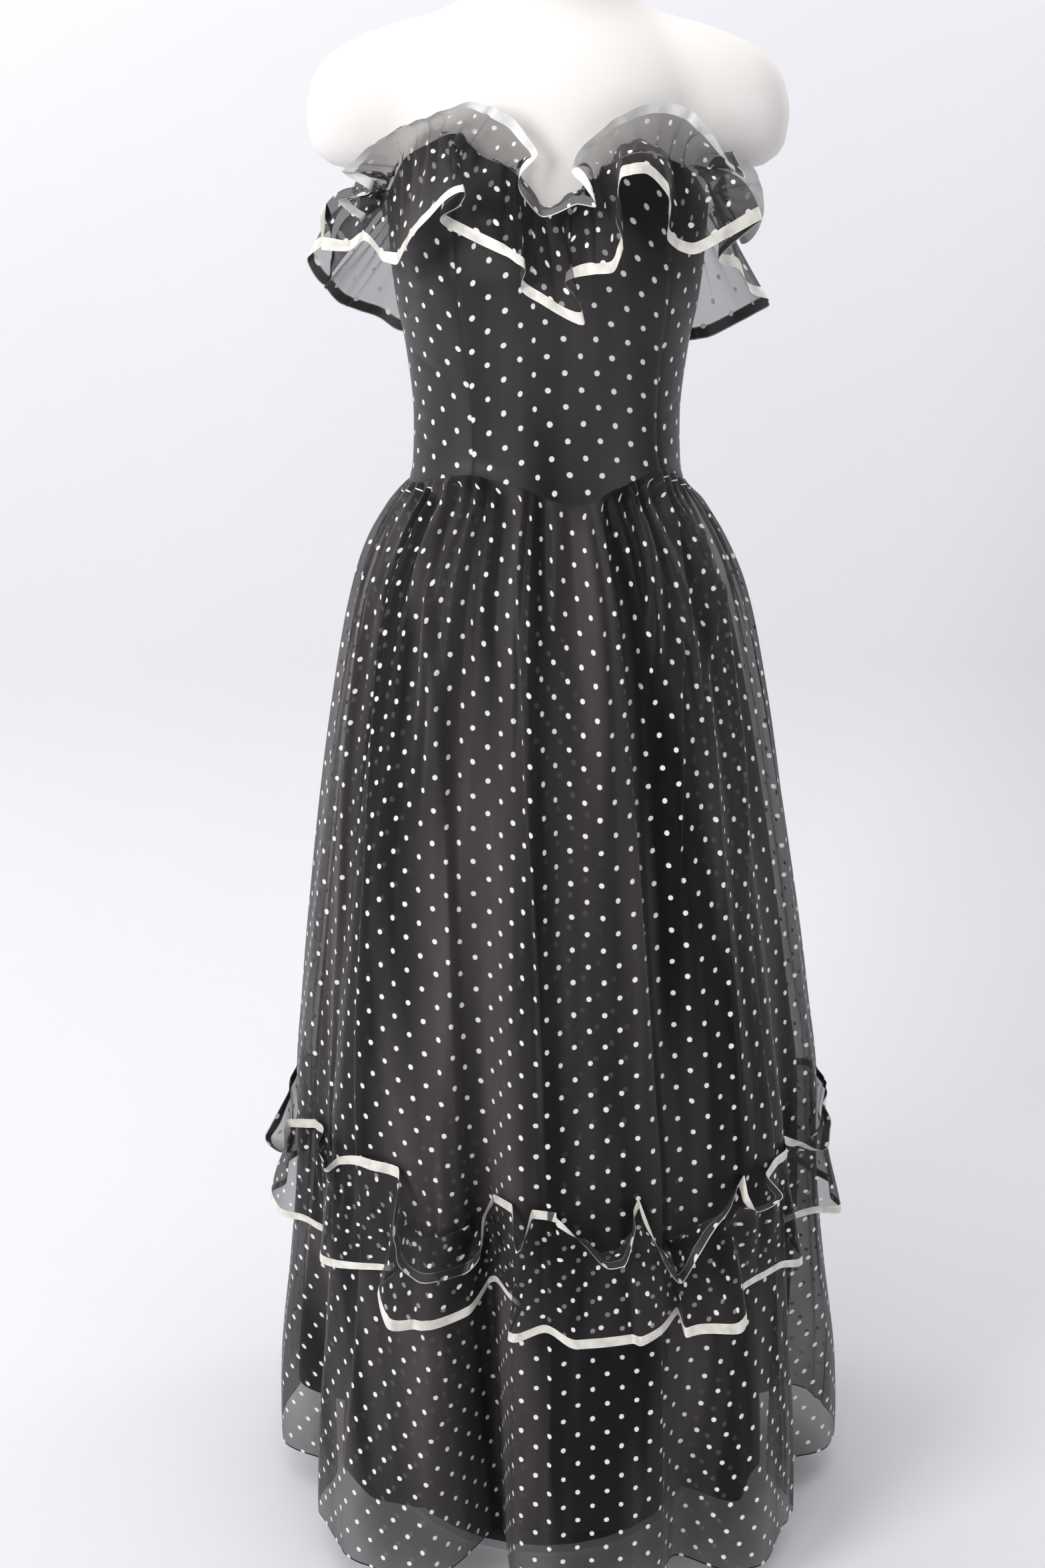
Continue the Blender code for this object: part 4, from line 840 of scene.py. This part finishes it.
def strip_gathers(strip, seam, spacing):
    """How far a strip's small gathers, and the finer puckers between them, stand out."""
    wave, longer = gather_wave(seam, spacing * 2, strip.gathers, strip.seed, 0.7, STRIP_SWAY)
    small, _ = gather_wave(seam, spacing * 2, strip.gathers * 2, strip.seed + 1, 0.6, STRIP_SWAY)
    depth = STRIP_GATHER * np.exp(-((spacing / (STRIP_GATHER_REACH * longer)) ** 1.6)) + STRIP_RIPPLE
    return depth * wave + STRIP_PUCKER * np.exp(-((spacing / STRIP_PUCKER_REACH) ** 2)) * small


def make_ribbon(strip, side, edge, band, u, materials):
    """The satin ribbon over one edge of a strip, reaching a little past it."""
    outer, inner = (0, 1) if edge == "upper" else (-1, -2)
    band[outer] += unit(band[outer] - band[inner]) * RIBBON_OVERHANG
    v = np.linspace(RIBBON_WIDTH, 0, RIBBON_ROWS)[:, None]
    ribbon = hung(f"{strip.name}_ribbon_{edge}_{side}", band, u, v)
    # The neck ruffle's upper ribbon gets a paler copy of the satin, painted light because it tilts away from
    # the lamps
    satin = "header_ribbon" if (strip.name, edge) == ("neck_ruffle", "upper") else "ribbon"
    dress(ribbon, materials[satin], f"{strip.name}_ribbon_{edge}")
    return ribbon


def make_strip_half(strip, side, start, end, materials):
    """Half of a strip gathered along a line, with its header above, its fall below and ribbon on both edges."""
    fine = np.linspace(start, end, FINE_STEPS)
    low, high = [lengths(edge_points(rows, fine, strip.seat)[None])[0] for rows in (strip.lower, strip.upper)]
    even = LOWER_EDGE_WEIGHT * low / low[-1] + (1 - LOWER_EDGE_WEIGHT) * high / high[-1]
    seam = np.interp(np.linspace(0, 1, STRIP_COLUMNS // 2), even, fine)
    away = strip_rows(strip)
    height = line_height(strip.line, seam)
    root = strip.root_seat(seam, height, strip.clearance + CLOTH)
    outward = unit(strip.seat(seam, height, 0.1) - strip.seat(seam, height, 0.0))
    upper = edge_points(strip.upper, seam, strip.seat)
    lower = edge_points(strip.lower, seam, strip.seat)
    worn = np.stack(
        arched(root, upper, strip.header, away[away > 0] / strip.header, outward)
        + arched(root, lower, strip.fall, -away[away <= 0] / strip.fall, outward)
    )
    spacing = np.broadcast_to(np.abs(away)[:, None], worn.shape[:2])
    worn = worn + facing(worn) * strip_gathers(strip, seam, spacing)[..., None]
    full = lengths(worn)[:, -1].mean() * GATHERED_STRIP
    u = full * (np.linspace(0, 1, worn.shape[1]) - 0.5)
    piece = hung(f"{strip.name}_{side}_cloth", worn, u, away[:, None])
    dress(piece, materials["ruffle"], f"{strip.name}_{side}")
    lifted = worn + facing(worn) * RIBBON_LIFT
    ribbons = [
        make_ribbon(strip, side, "upper", lifted[:RIBBON_ROWS].copy(), u, materials),
        make_ribbon(strip, side, "lower", lifted[-RIBBON_ROWS:].copy(), u, materials),
    ]


# The dress form

def form_ring(height, angle):
    """One level of the dress form: its trunk joined smoothly to the stumps at the shoulders."""
    inset = CLOTH + FORM_CLEARANCE
    trunk = list(HIPS)
    for row in GOWN:
        if HIPS[-1].height < row.height < CHEST[0].height:
            trunk.append(Section(row.height, row.half_width - inset, row.front - inset, row.back - inset, 0.0))
    trunk += CHEST
    half_width, front, back, _ = section_at(trunk, height)
    depth = np.where(np.cos(angle) > 0, front, back)
    radius = 1 / np.hypot(np.sin(angle) / half_width, np.cos(angle) / depth)
    if ARMS[0].height <= height <= ARMS[-1].height:
        reach = smooth(height, column(ARMS, "height"), column(ARMS, "reach"))
        half_depth = smooth(height, column(ARMS, "height"), column(ARMS, "half_depth"))
        power = ARM_SQUARENESS
        spread = np.abs(np.sin(angle) / reach) ** power + np.abs(np.cos(angle) / half_depth) ** power
        radius = (radius**ARM_BLEND + spread ** (-ARM_BLEND / power)) ** (1 / ARM_BLEND)
    return np.stack([radius * np.sin(angle), -radius * np.cos(angle), np.full_like(radius, height)], axis=-1)


def make_form(materials):
    """The limbless torso, as a ball whose rings are moved to the form's levels. Its end rings lie flat."""
    bpy.ops.mesh.primitive_uv_sphere_add(segments=FORM_SEGMENTS, ring_count=FORM_RINGS, radius=1)
    piece = bpy.context.object
    piece.name = "dress_form"
    mesh = piece.data
    mesh.name = "dress_form"
    ball = np.empty(len(mesh.vertices) * 3)
    mesh.vertices.foreach_get("co", ball)
    ball = ball.reshape(-1, 3)
    ring = np.rint(np.arccos(np.clip(ball[:, 2], -1, 1)) / math.pi * FORM_RINGS).astype(int)
    around = np.arctan2(ball[:, 0], -ball[:, 1])
    levels = np.linspace(NECK_TOP, HIPS[0].height, FORM_RINGS - 3)
    end_rings = {0: 0.0, 1: FLAT_RING, FORM_RINGS - 1: FLAT_RING, FORM_RINGS: 0.0}
    placed = np.empty_like(ball)
    for number in range(FORM_RINGS + 1):
        pick = ring == number
        level = levels[int(np.clip(number - 2, 0, len(levels) - 1))]
        points = form_ring(level, around[pick])
        points[:, :2] *= end_rings.get(number, 1.0)
        placed[pick] = points
    mesh.vertices.foreach_set("co", placed.ravel())
    mesh.update()
    bpy.ops.object.shade_smooth()
    bpy.ops.object.select_all(action="DESELECT")
    dress(piece, materials["form"], "form_torso")


# Finishes

def new_group(name, inputs, outputs):
    """A shader node group: inputs are (name, kind, default) rows and outputs (name, kind) rows."""
    group = bpy.data.node_groups.new(name, "ShaderNodeTree")
    for label, kind, default in inputs:
        socket = group.interface.new_socket(label, in_out="INPUT", socket_type=kind)
        if default is not None:
            socket.default_value = default
    for label, kind in outputs:
        group.interface.new_socket(label, in_out="OUTPUT", socket_type=kind)
    return group, group.nodes.new("NodeGroupInput"), group.nodes.new("NodeGroupOutput")


def add(tree, kind, inputs=(), **settings):
    """A node with its settings; inputs are (socket, value or the socket it is linked from) rows."""
    node = tree.nodes.new(kind)
    for name, value in settings.items():
        setattr(node, name, value)
    for socket, source in inputs:
        if isinstance(source, bpy.types.NodeSocket):
            tree.links.new(source, node.inputs[socket])
        else:
            node.inputs[socket].default_value = source
    return node


def add_group(tree, group, inputs):
    """A node group, placed in a material with its own values."""
    return add(tree, "ShaderNodeGroup", inputs, node_tree=group)


def math_node(tree, operation, first, second=None, clamp=False):
    rows = [(0, first)] + ([] if second is None else [(1, second)])
    return add(tree, "ShaderNodeMath", rows, operation=operation, use_clamp=clamp).outputs[0]


def vector_node(tree, operation, first, second=None):
    """Vector arithmetic. The second value of SCALE is a number, and of the others a vector."""
    rows = [(0, first)] + ([] if second is None else [("Scale" if operation == "SCALE" else 1, second)])
    return add(tree, "ShaderNodeVectorMath", rows, operation=operation)


def mix_color(tree, share, first, second):
    """A share of the second colour in the first; each is a row of three numbers or a socket."""
    colors = [(*color, 1.0) if isinstance(color, tuple) else color for color in (first, second)]
    return add(tree, "ShaderNodeMix", [(0, share), (6, colors[0]), (7, colors[1])], data_type="RGBA").outputs[2]


def noise(tree, place, scale, detail):
    inputs = [("Vector", place), ("Scale", scale), ("Detail", detail)]
    return add(tree, "ShaderNodeTexNoise", inputs).outputs["Fac"]


def stretched(tree, place, ways):
    """Places for a pattern that is drawn out along the ways whose number is below 1."""
    return add(tree, "ShaderNodeMapping", [("Vector", place), ("Scale", ways)]).outputs[0]


def ramp(tree, value, low, high, least=0.0, most=1.0, **settings):
    """Least where the value is low, most where it is high, and a slope between."""
    inputs = [("Value", value), ("From Min", low), ("From Max", high), ("To Min", least), ("To Max", most)]
    return add(tree, "ShaderNodeMapRange", inputs, **settings).outputs["Result"]


def emboss(tree, shader, height, strength, depth):
    bump = add(tree, "ShaderNodeBump", [("Height", height), ("Strength", strength), ("Distance", depth)])
    tree.links.new(bump.outputs["Normal"], shader.inputs["Normal"])


def new_finish(name, **values):
    """A material and its Principled shader with constant values, whose names have _ for each space."""
    material = bpy.data.materials.new(name)
    material.use_nodes = True
    tree = material.node_tree
    shader = tree.nodes["Principled BSDF"]
    for label, value in values.items():
        shader.inputs[label.replace("_", " ")].default_value = value
    return material, tree, shader


def dot_print_group():
    """Round dots in staggered columns: one lattice, and another set half a step across and down."""
    group, start, end = new_group(
        "dot_print",
        [
            ("Cloth", "NodeSocketVector", None),
            ("Spread", "NodeSocketFloat", DOT_SPREAD),
            ("Radius", "NodeSocketFloat", DOT_RADIUS),
            ("Softness", "NodeSocketFloat", 0.0004),
        ],
        [("Dot", "NodeSocketFloat")],
    )
    place = start.outputs["Cloth"]
    wobble = add(group, "ShaderNodeTexNoise", [("Vector", place), ("Scale", 60.0), ("Detail", 1.0)])
    off = vector_node(group, "SUBTRACT", wobble.outputs["Color"], (0.5, 0.5, 0.5))
    shift = vector_node(group, "SCALE", off.outputs[0], DOT_WANDER)
    cloth = vector_node(group, "ADD", place, shift.outputs[0])
    repeats = math_node(group, "DIVIDE", 1.0, start.outputs["Spread"])
    scaled = vector_node(group, "SCALE", cloth.outputs[0], repeats)
    nearest = []
    for step in (0.0, 0.5):
        moved = vector_node(group, "ADD", scaled.outputs[0], (step, step, 0))
        cell = vector_node(group, "FRACTION", moved.outputs[0])
        middle = vector_node(group, "SUBTRACT", cell.outputs[0], (0.5, 0.5, 0))
        flat = vector_node(group, "MULTIPLY", middle.outputs[0], (1, 1, 0))
        nearest.append(vector_node(group, "LENGTH", flat.outputs[0]).outputs["Value"])
    distance = math_node(group, "MULTIPLY", math_node(group, "MINIMUM", *nearest), start.outputs["Spread"])
    inner = math_node(group, "SUBTRACT", start.outputs["Radius"], start.outputs["Softness"])
    outer = math_node(group, "ADD", start.outputs["Radius"], start.outputs["Softness"])
    dot = ramp(group, distance, inner, outer, 1.0, 0.0, interpolation_type="SMOOTHSTEP")
    group.links.new(dot, end.inputs["Dot"])
    return group


def thread_group():
    """Fine threads with slubs, along and across the cloth, and slow changes in how dense it is."""
    group, start, end = new_group(
        "cloth_threads",
        [("Cloth", "NodeSocketVector", None), ("Pitch", "NodeSocketFloat", 0.0008)],
        [("Height", "NodeSocketFloat"), ("Density", "NodeSocketFloat")],
    )
    place = start.outputs["Cloth"]
    counts = math_node(group, "DIVIDE", 1.0, start.outputs["Pitch"])
    heights = []
    for ways in ((1.0, THREAD_SLUB, 1.0), (THREAD_SLUB, 1.0, 1.0)):
        along = vector_node(group, "MULTIPLY", place, ways)
        heights.append(noise(group, along.outputs[0], counts, 2.0))
    group.links.new(math_node(group, "MULTIPLY", math_node(group, "ADD", *heights), 0.5), end.inputs["Height"])
    group.links.new(noise(group, place, 14.0, 3.0), end.inputs["Density"])
    return group


def band_group():
    """A soft-edged band across the cloth, such as a rolled hem or a line of stitches."""
    group, start, end = new_group(
        "cloth_band",
        [
            ("Cloth", "NodeSocketVector", None),
            ("Middle", "NodeSocketFloat", 0.0),
            ("Half width", "NodeSocketFloat", 0.001),
            ("Softness", "NodeSocketFloat", 0.0004),
        ],
        [("Band", "NodeSocketFloat")],
    )
    parts = add(group, "ShaderNodeSeparateXYZ", [("Vector", start.outputs["Cloth"])])
    off = math_node(group, "SUBTRACT", parts.outputs["Y"], start.outputs["Middle"])
    distance = math_node(group, "ABSOLUTE", off)
    inner = start.outputs["Half width"]
    outer = math_node(group, "ADD", inner, start.outputs["Softness"])
    band = ramp(group, distance, inner, outer, 1.0, 0.0, interpolation_type="SMOOTHSTEP")
    group.links.new(band, end.inputs["Band"])
    return group


def add_print_behind(tree, groups, cloth, base, share):
    """The print of a second layer that shows faintly through the first, in tall patches."""
    moves = [("Location", BEHIND_SHIFT), ("Rotation", (0, 0, 0.05)), ("Scale", (1.03, 1.0, 1.0))]
    moved = add(tree, "ShaderNodeMapping", [("Vector", cloth), *moves]).outputs[0]
    under = add_group(tree, groups["dots"], [("Cloth", moved), ("Softness", 0.0009)]).outputs["Dot"]
    patches = noise(tree, stretched(tree, cloth, (1.0, 0.22, 1.0)), 9.0, 1.0)
    where = ramp(tree, patches, 0.47, 0.60, most=share)
    base = mix_color(tree, math_node(tree, "MULTIPLY", where, 0.35), base, SHEEN_THREAD)
    return mix_color(tree, math_node(tree, "MULTIPLY", under, where), base, GHOST_DOT)


def organza(name, groups, look, hem=None):
    """Black organza printed with white dots, with a rolled hem at a height in its cut if it has one."""
    material, tree, shader = new_finish(
        name, Roughness=0.50, Specular_IOR_Level=look.gloss, Sheen_Weight=0.05, Sheen_Roughness=0.4
    )
    cloth = add(tree, "ShaderNodeUVMap").outputs["UV"]
    dots = add_group(tree, groups["dots"], [("Cloth", cloth)]).outputs["Dot"]
    threads = add_group(tree, groups["threads"], [("Cloth", cloth)])
    facing_away = add(tree, "ShaderNodeLayerWeight", [("Blend", 0.45)]).outputs["Facing"]
    # Painted sheen: the colour goes from the dark thread to a paler grey where the cloth is seen at a slant
    base = mix_color(tree, facing_away, DARK_THREAD, SHEEN_THREAD)
    # Tall paler panels, partly where the organza lies doubled and partly painted light on folds that face the
    # lamps
    panels = noise(tree, stretched(tree, cloth, (1.0, 0.10, 1.0)), 11.0, 3.0)
    base = mix_color(tree, ramp(tree, panels, 0.42, 0.62, most=look.panels), base, DOUBLED_AND_LIT_PANEL)
    slub = math_node(tree, "MULTIPLY", math_node(tree, "SUBTRACT", threads.outputs["Density"], 0.40), 0.5, True)
    base = mix_color(tree, slub, base, SHEEN_THREAD)
    if look.print_behind:
        base = add_print_behind(tree, groups, cloth, base, look.print_behind)
    solid = dots
    if hem is not None:
        rolled = [("Cloth", cloth), ("Middle", hem), ("Half width", HEM_ROLL)]
        band = add_group(tree, groups["band"], rolled).outputs["Band"]
        base = mix_color(tree, band, base, HEM_BLACK)
        solid = math_node(tree, "MAXIMUM", dots, band)
    tree.links.new(mix_color(tree, dots, base, DOT_WHITE), shader.inputs["Base Color"])
    if look.cover < 1.0:
        grazing = math_node(tree, "MULTIPLY", math_node(tree, "POWER", facing_away, 2.0), 1.0 - look.cover)
        cover = math_node(tree, "ADD", look.cover, grazing, True)
        tree.links.new(math_node(tree, "MAXIMUM", cover, solid), shader.inputs["Alpha"])
    emboss(tree, shader, threads.outputs["Height"], 0.12, 0.0004)
    return material


def lining_finish(groups):
    """Plain black lining with a low sheen and a stitched hem."""
    material, tree, shader = new_finish("black_lining_cloth", Roughness=0.5)
    cloth = add(tree, "ShaderNodeUVMap").outputs["UV"]
    threads = add_group(tree, groups["threads"], [("Cloth", cloth), ("Pitch", 0.0006)])
    stitches = [("Cloth", cloth), ("Middle", 0.012), ("Half width", 0.0006)]
    hem = add_group(tree, groups["band"], stitches).outputs["Band"]
    base = mix_color(tree, threads.outputs["Density"], LINING_BLACK, LINING_PALER)
    tree.links.new(mix_color(tree, hem, base, STITCH_BLACK), shader.inputs["Base Color"])
    emboss(tree, shader, threads.outputs["Height"], 0.15, 0.0004)
    return material


def ribbon_finish(name, groups, ivory, dull, wrong_side):
    """Ivory satin ribbon, slightly uneven; its wrong side shows grey through the organza, with white edges."""
    material, tree, shader = new_finish(name, Roughness=0.36, Specular_IOR_Level=0.6)
    cloth = add(tree, "ShaderNodeUVMap").outputs["UV"]
    ribs = noise(tree, stretched(tree, cloth, (1.0, 0.12, 1.0)), 900.0, 2.0)
    uneven = ramp(tree, noise(tree, cloth, 70.0, 3.0), 0.42, 0.70)
    face = mix_color(tree, uneven, ivory, dull)
    half = RIBBON_WIDTH / 2
    inside = [("Cloth", cloth), ("Middle", half), ("Half width", half - RIBBON_SELVEDGE)]
    wrong = mix_color(tree, add_group(tree, groups["band"], inside).outputs["Band"], ivory, wrong_side)
    backfacing = add(tree, "ShaderNodeNewGeometry").outputs["Backfacing"]
    tree.links.new(mix_color(tree, backfacing, face, wrong), shader.inputs["Base Color"])
    emboss(tree, shader, ribs, 0.3, 0.0003)
    return material


def form_finish():
    """Pale stretch jersey over the padded form, with painted shade, darker and warmer, up the neck."""
    material, tree, shader = new_finish("pale_jersey", Roughness=0.7)
    place = add(tree, "ShaderNodeTexCoord").outputs["Object"]
    height = add(tree, "ShaderNodeSeparateXYZ", [("Vector", place)]).outputs["Z"]
    base = mix_color(tree, noise(tree, place, 6.0, 2.0), JERSEY, JERSEY_PALER)
    # Painted shade: darker and warmer up the neck
    neck = ramp(tree, height, *NECK_SHADE_HEIGHTS, most=0.8)
    tree.links.new(mix_color(tree, neck, base, JERSEY_NECK_SHADE), shader.inputs["Base Color"])
    emboss(tree, shader, noise(tree, place, 900.0, 2.0), 0.12, 0.0004)
    return material


def metal_finish():
    """Brushed steel, with its grain round the stand."""
    material, tree, shader = new_finish("brushed_stand_steel", Metallic=1.0)
    place = add(tree, "ShaderNodeTexCoord").outputs["Object"]
    brushed = noise(tree, stretched(tree, place, (1.0, 1.0, 40.0)), 60.0, 4.0)
    tree.links.new(mix_color(tree, brushed, STEEL, STEEL_PALER), shader.inputs["Base Color"])
    tree.links.new(ramp(tree, brushed, 0.0, 1.0, 0.24, 0.42), shader.inputs["Roughness"])
    emboss(tree, shader, brushed, 0.1, 0.0003)
    return material


def paper_finish():
    """Pale matt paper, which is clear when looked at from behind."""
    material, tree, shader = new_finish("pale_paper", Roughness=0.8)
    place = add(tree, "ShaderNodeTexCoord").outputs["Object"]
    shade = tuple(part * PAPER_SHADE for part in PAPER)
    tree.links.new(mix_color(tree, noise(tree, place, 2.0, 3.0), PAPER, shade), shader.inputs["Base Color"])
    behind = add(tree, "ShaderNodeNewGeometry").outputs["Backfacing"]
    tree.links.new(math_node(tree, "SUBTRACT", 1.0, behind), shader.inputs["Alpha"])
    return material


# Studio

def make_stage():
    """A pale floor that turns up into a pale backdrop."""
    bpy.ops.mesh.primitive_plane_add(size=1)
    sweep = bpy.context.object
    sweep.name = "studio_sweep"
    bpy.ops.object.mode_set(mode="EDIT")
    bpy.ops.transform.resize(value=(FLOOR_WIDTH, FLOOR_LENGTH, 1.0))
    bpy.ops.object.mode_set(mode="OBJECT")
    mesh = sweep.data
    far = [vertex.index for vertex in mesh.vertices if vertex.co.y > 0]
    for vertex in mesh.vertices:
        vertex.co.y -= FLOOR_SHIFT
    bpy.ops.object.mode_set(mode="EDIT")
    bpy.ops.mesh.select_mode(type="EDGE")
    bpy.ops.mesh.select_all(action="DESELECT")
    bpy.ops.object.mode_set(mode="OBJECT")
    for edge in mesh.edges:
        edge.select = all(corner in far for corner in edge.vertices)
    bpy.ops.object.mode_set(mode="EDIT")
    for step in range(CURVE_STEPS):
        turn = math.pi / 2 * (step + 0.5) / CURVE_STEPS
        move = (0, CURVE_STEP * math.cos(turn), CURVE_STEP * math.sin(turn))
        bpy.ops.mesh.extrude_region_move(TRANSFORM_OT_translate={"value": move})
    bpy.ops.mesh.extrude_region_move(TRANSFORM_OT_translate={"value": (0, 0, BACKDROP_RISE)})
    bpy.ops.object.mode_set(mode="OBJECT")
    bpy.ops.object.shade_smooth()
    mesh.materials.append(paper_finish())
    bpy.ops.object.select_all(action="DESELECT")


def place_light(row):
    """A soft rectangular light, turned towards its aim."""
    light = bpy.data.lights.new(row.name, "AREA")
    light.shape = "RECTANGLE"
    light.size, light.size_y = row.size
    light.energy = row.power
    lamp = bpy.data.objects.new(row.name, light)
    bpy.context.scene.collection.objects.link(lamp)
    lamp.location = row.place
    lamp.rotation_euler = (Vector(row.aim) - Vector(row.place)).to_track_quat("-Z", "Y").to_euler()


def make_room():
    """Soft light from all round, and a brighter plain wall wherever the camera sees past the stage."""
    world = bpy.data.worlds.new("soft_room")
    world.use_nodes = True
    tree = world.node_tree
    background = tree.nodes["Background"]
    background.inputs["Color"].default_value = ROOM_COLOR
    seen = add(tree, "ShaderNodeLightPath").outputs["Is Camera Ray"]
    brighter = math_node(tree, "MULTIPLY", seen, ROOM_BRIGHTNESS - ROOM_LIGHT)
    tree.links.new(math_node(tree, "ADD", brighter, ROOM_LIGHT), background.inputs["Strength"])
    bpy.context.scene.world = world


def place_camera():
    """The camera where the photograph was taken from."""
    camera = bpy.data.cameras.new("front_camera")
    camera.sensor_width = CAMERA_FILM
    camera.lens = CAMERA_LENS
    eye = bpy.data.objects.new("front_camera", camera)
    bpy.context.scene.collection.objects.link(eye)
    eye.location = CAMERA_PLACE
    eye.rotation_euler = (math.radians(90 - CAMERA_DOWN), 0.0, 0.0)
    bpy.context.scene.camera = eye
    bpy.context.scene.view_settings.view_transform = "Standard"


def make_materials():
    groups = {"dots": dot_print_group(), "threads": thread_group(), "band": band_group()}
    return {
        "organza": organza("sheer_dotted_organza", groups, SKIRT_LOOK, hem=PRINT_DROP),
        "ruffle": organza("sheer_ruffle_organza", groups, RUFFLE_LOOK),
        "bodice": organza("lined_dotted_organza", groups, BODICE_LOOK),
        "lining": lining_finish(groups),
        "ribbon": ribbon_finish("ivory_satin", groups, RIBBON_IVORY, RIBBON_DULL, RIBBON_WRONG),
        # Paler copy of the ivory satin, painted light for the neck ruffle's upper ribbon
        "header_ribbon": ribbon_finish("pale_ivory_satin", groups, LIT_HEADER_IVORY, LIT_HEADER_DULL, LIT_HEADER_WRONG),
        "form": form_finish(),
        "metal": metal_finish(),
    }


def main():
    materials = make_materials()
    for node in ("stand_pole", "stand_base"):
        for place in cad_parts[node].material_slots:
            place.material = materials["metal"]
    make_form(materials)
    low_halves = (
        ("front", LEFT_SIDE.waist, RIGHT_SIDE.waist),
        ("back", RIGHT_SIDE.waist, LEFT_SIDE.waist + 360),
    )
    high_halves = (
        ("front", LEFT_SIDE.neckline, RIGHT_SIDE.neckline),
        ("back", RIGHT_SIDE.neckline, LEFT_SIDE.neckline + 360),
    )
    for half in low_halves:
        make_lining_half(*half, materials)
    for half in low_halves:
        make_skirt_half(*half, materials)
    for panel in PANELS:
        make_bodice_panel(panel, materials)
    flounce = Strip(
        name="flounce", seat=on_folds, root_seat=on_skirt, line=FLOUNCE_LINE, lower=FLOUNCE_LOWER,
        upper=FLOUNCE_UPPER, header=FLOUNCE_HEADER, fall=FLOUNCE_FALL, clearance=FLOUNCE_CLEARANCE,
        gathers=52, seed=21, rests_on="skirt_front_cloth",
    )
    ruffle = Strip(
        name="neck_ruffle", seat=on_gown, root_seat=on_gown, line=NECKLINE, lower=NECK_LOWER,
        upper=NECK_UPPER, header=NECK_HEADER, fall=NECK_FALL, clearance=NECK_CLEARANCE,
        gathers=60, seed=34, rests_on="bodice_center_front_cloth",
    )
    for half in low_halves:
        make_strip_half(flounce, *half, materials)
    for half in high_halves:
        make_strip_half(ruffle, *half, materials)
    make_stage()
    for row in SOFTBOXES:
        place_light(row)
    make_room()
    place_camera()


main()
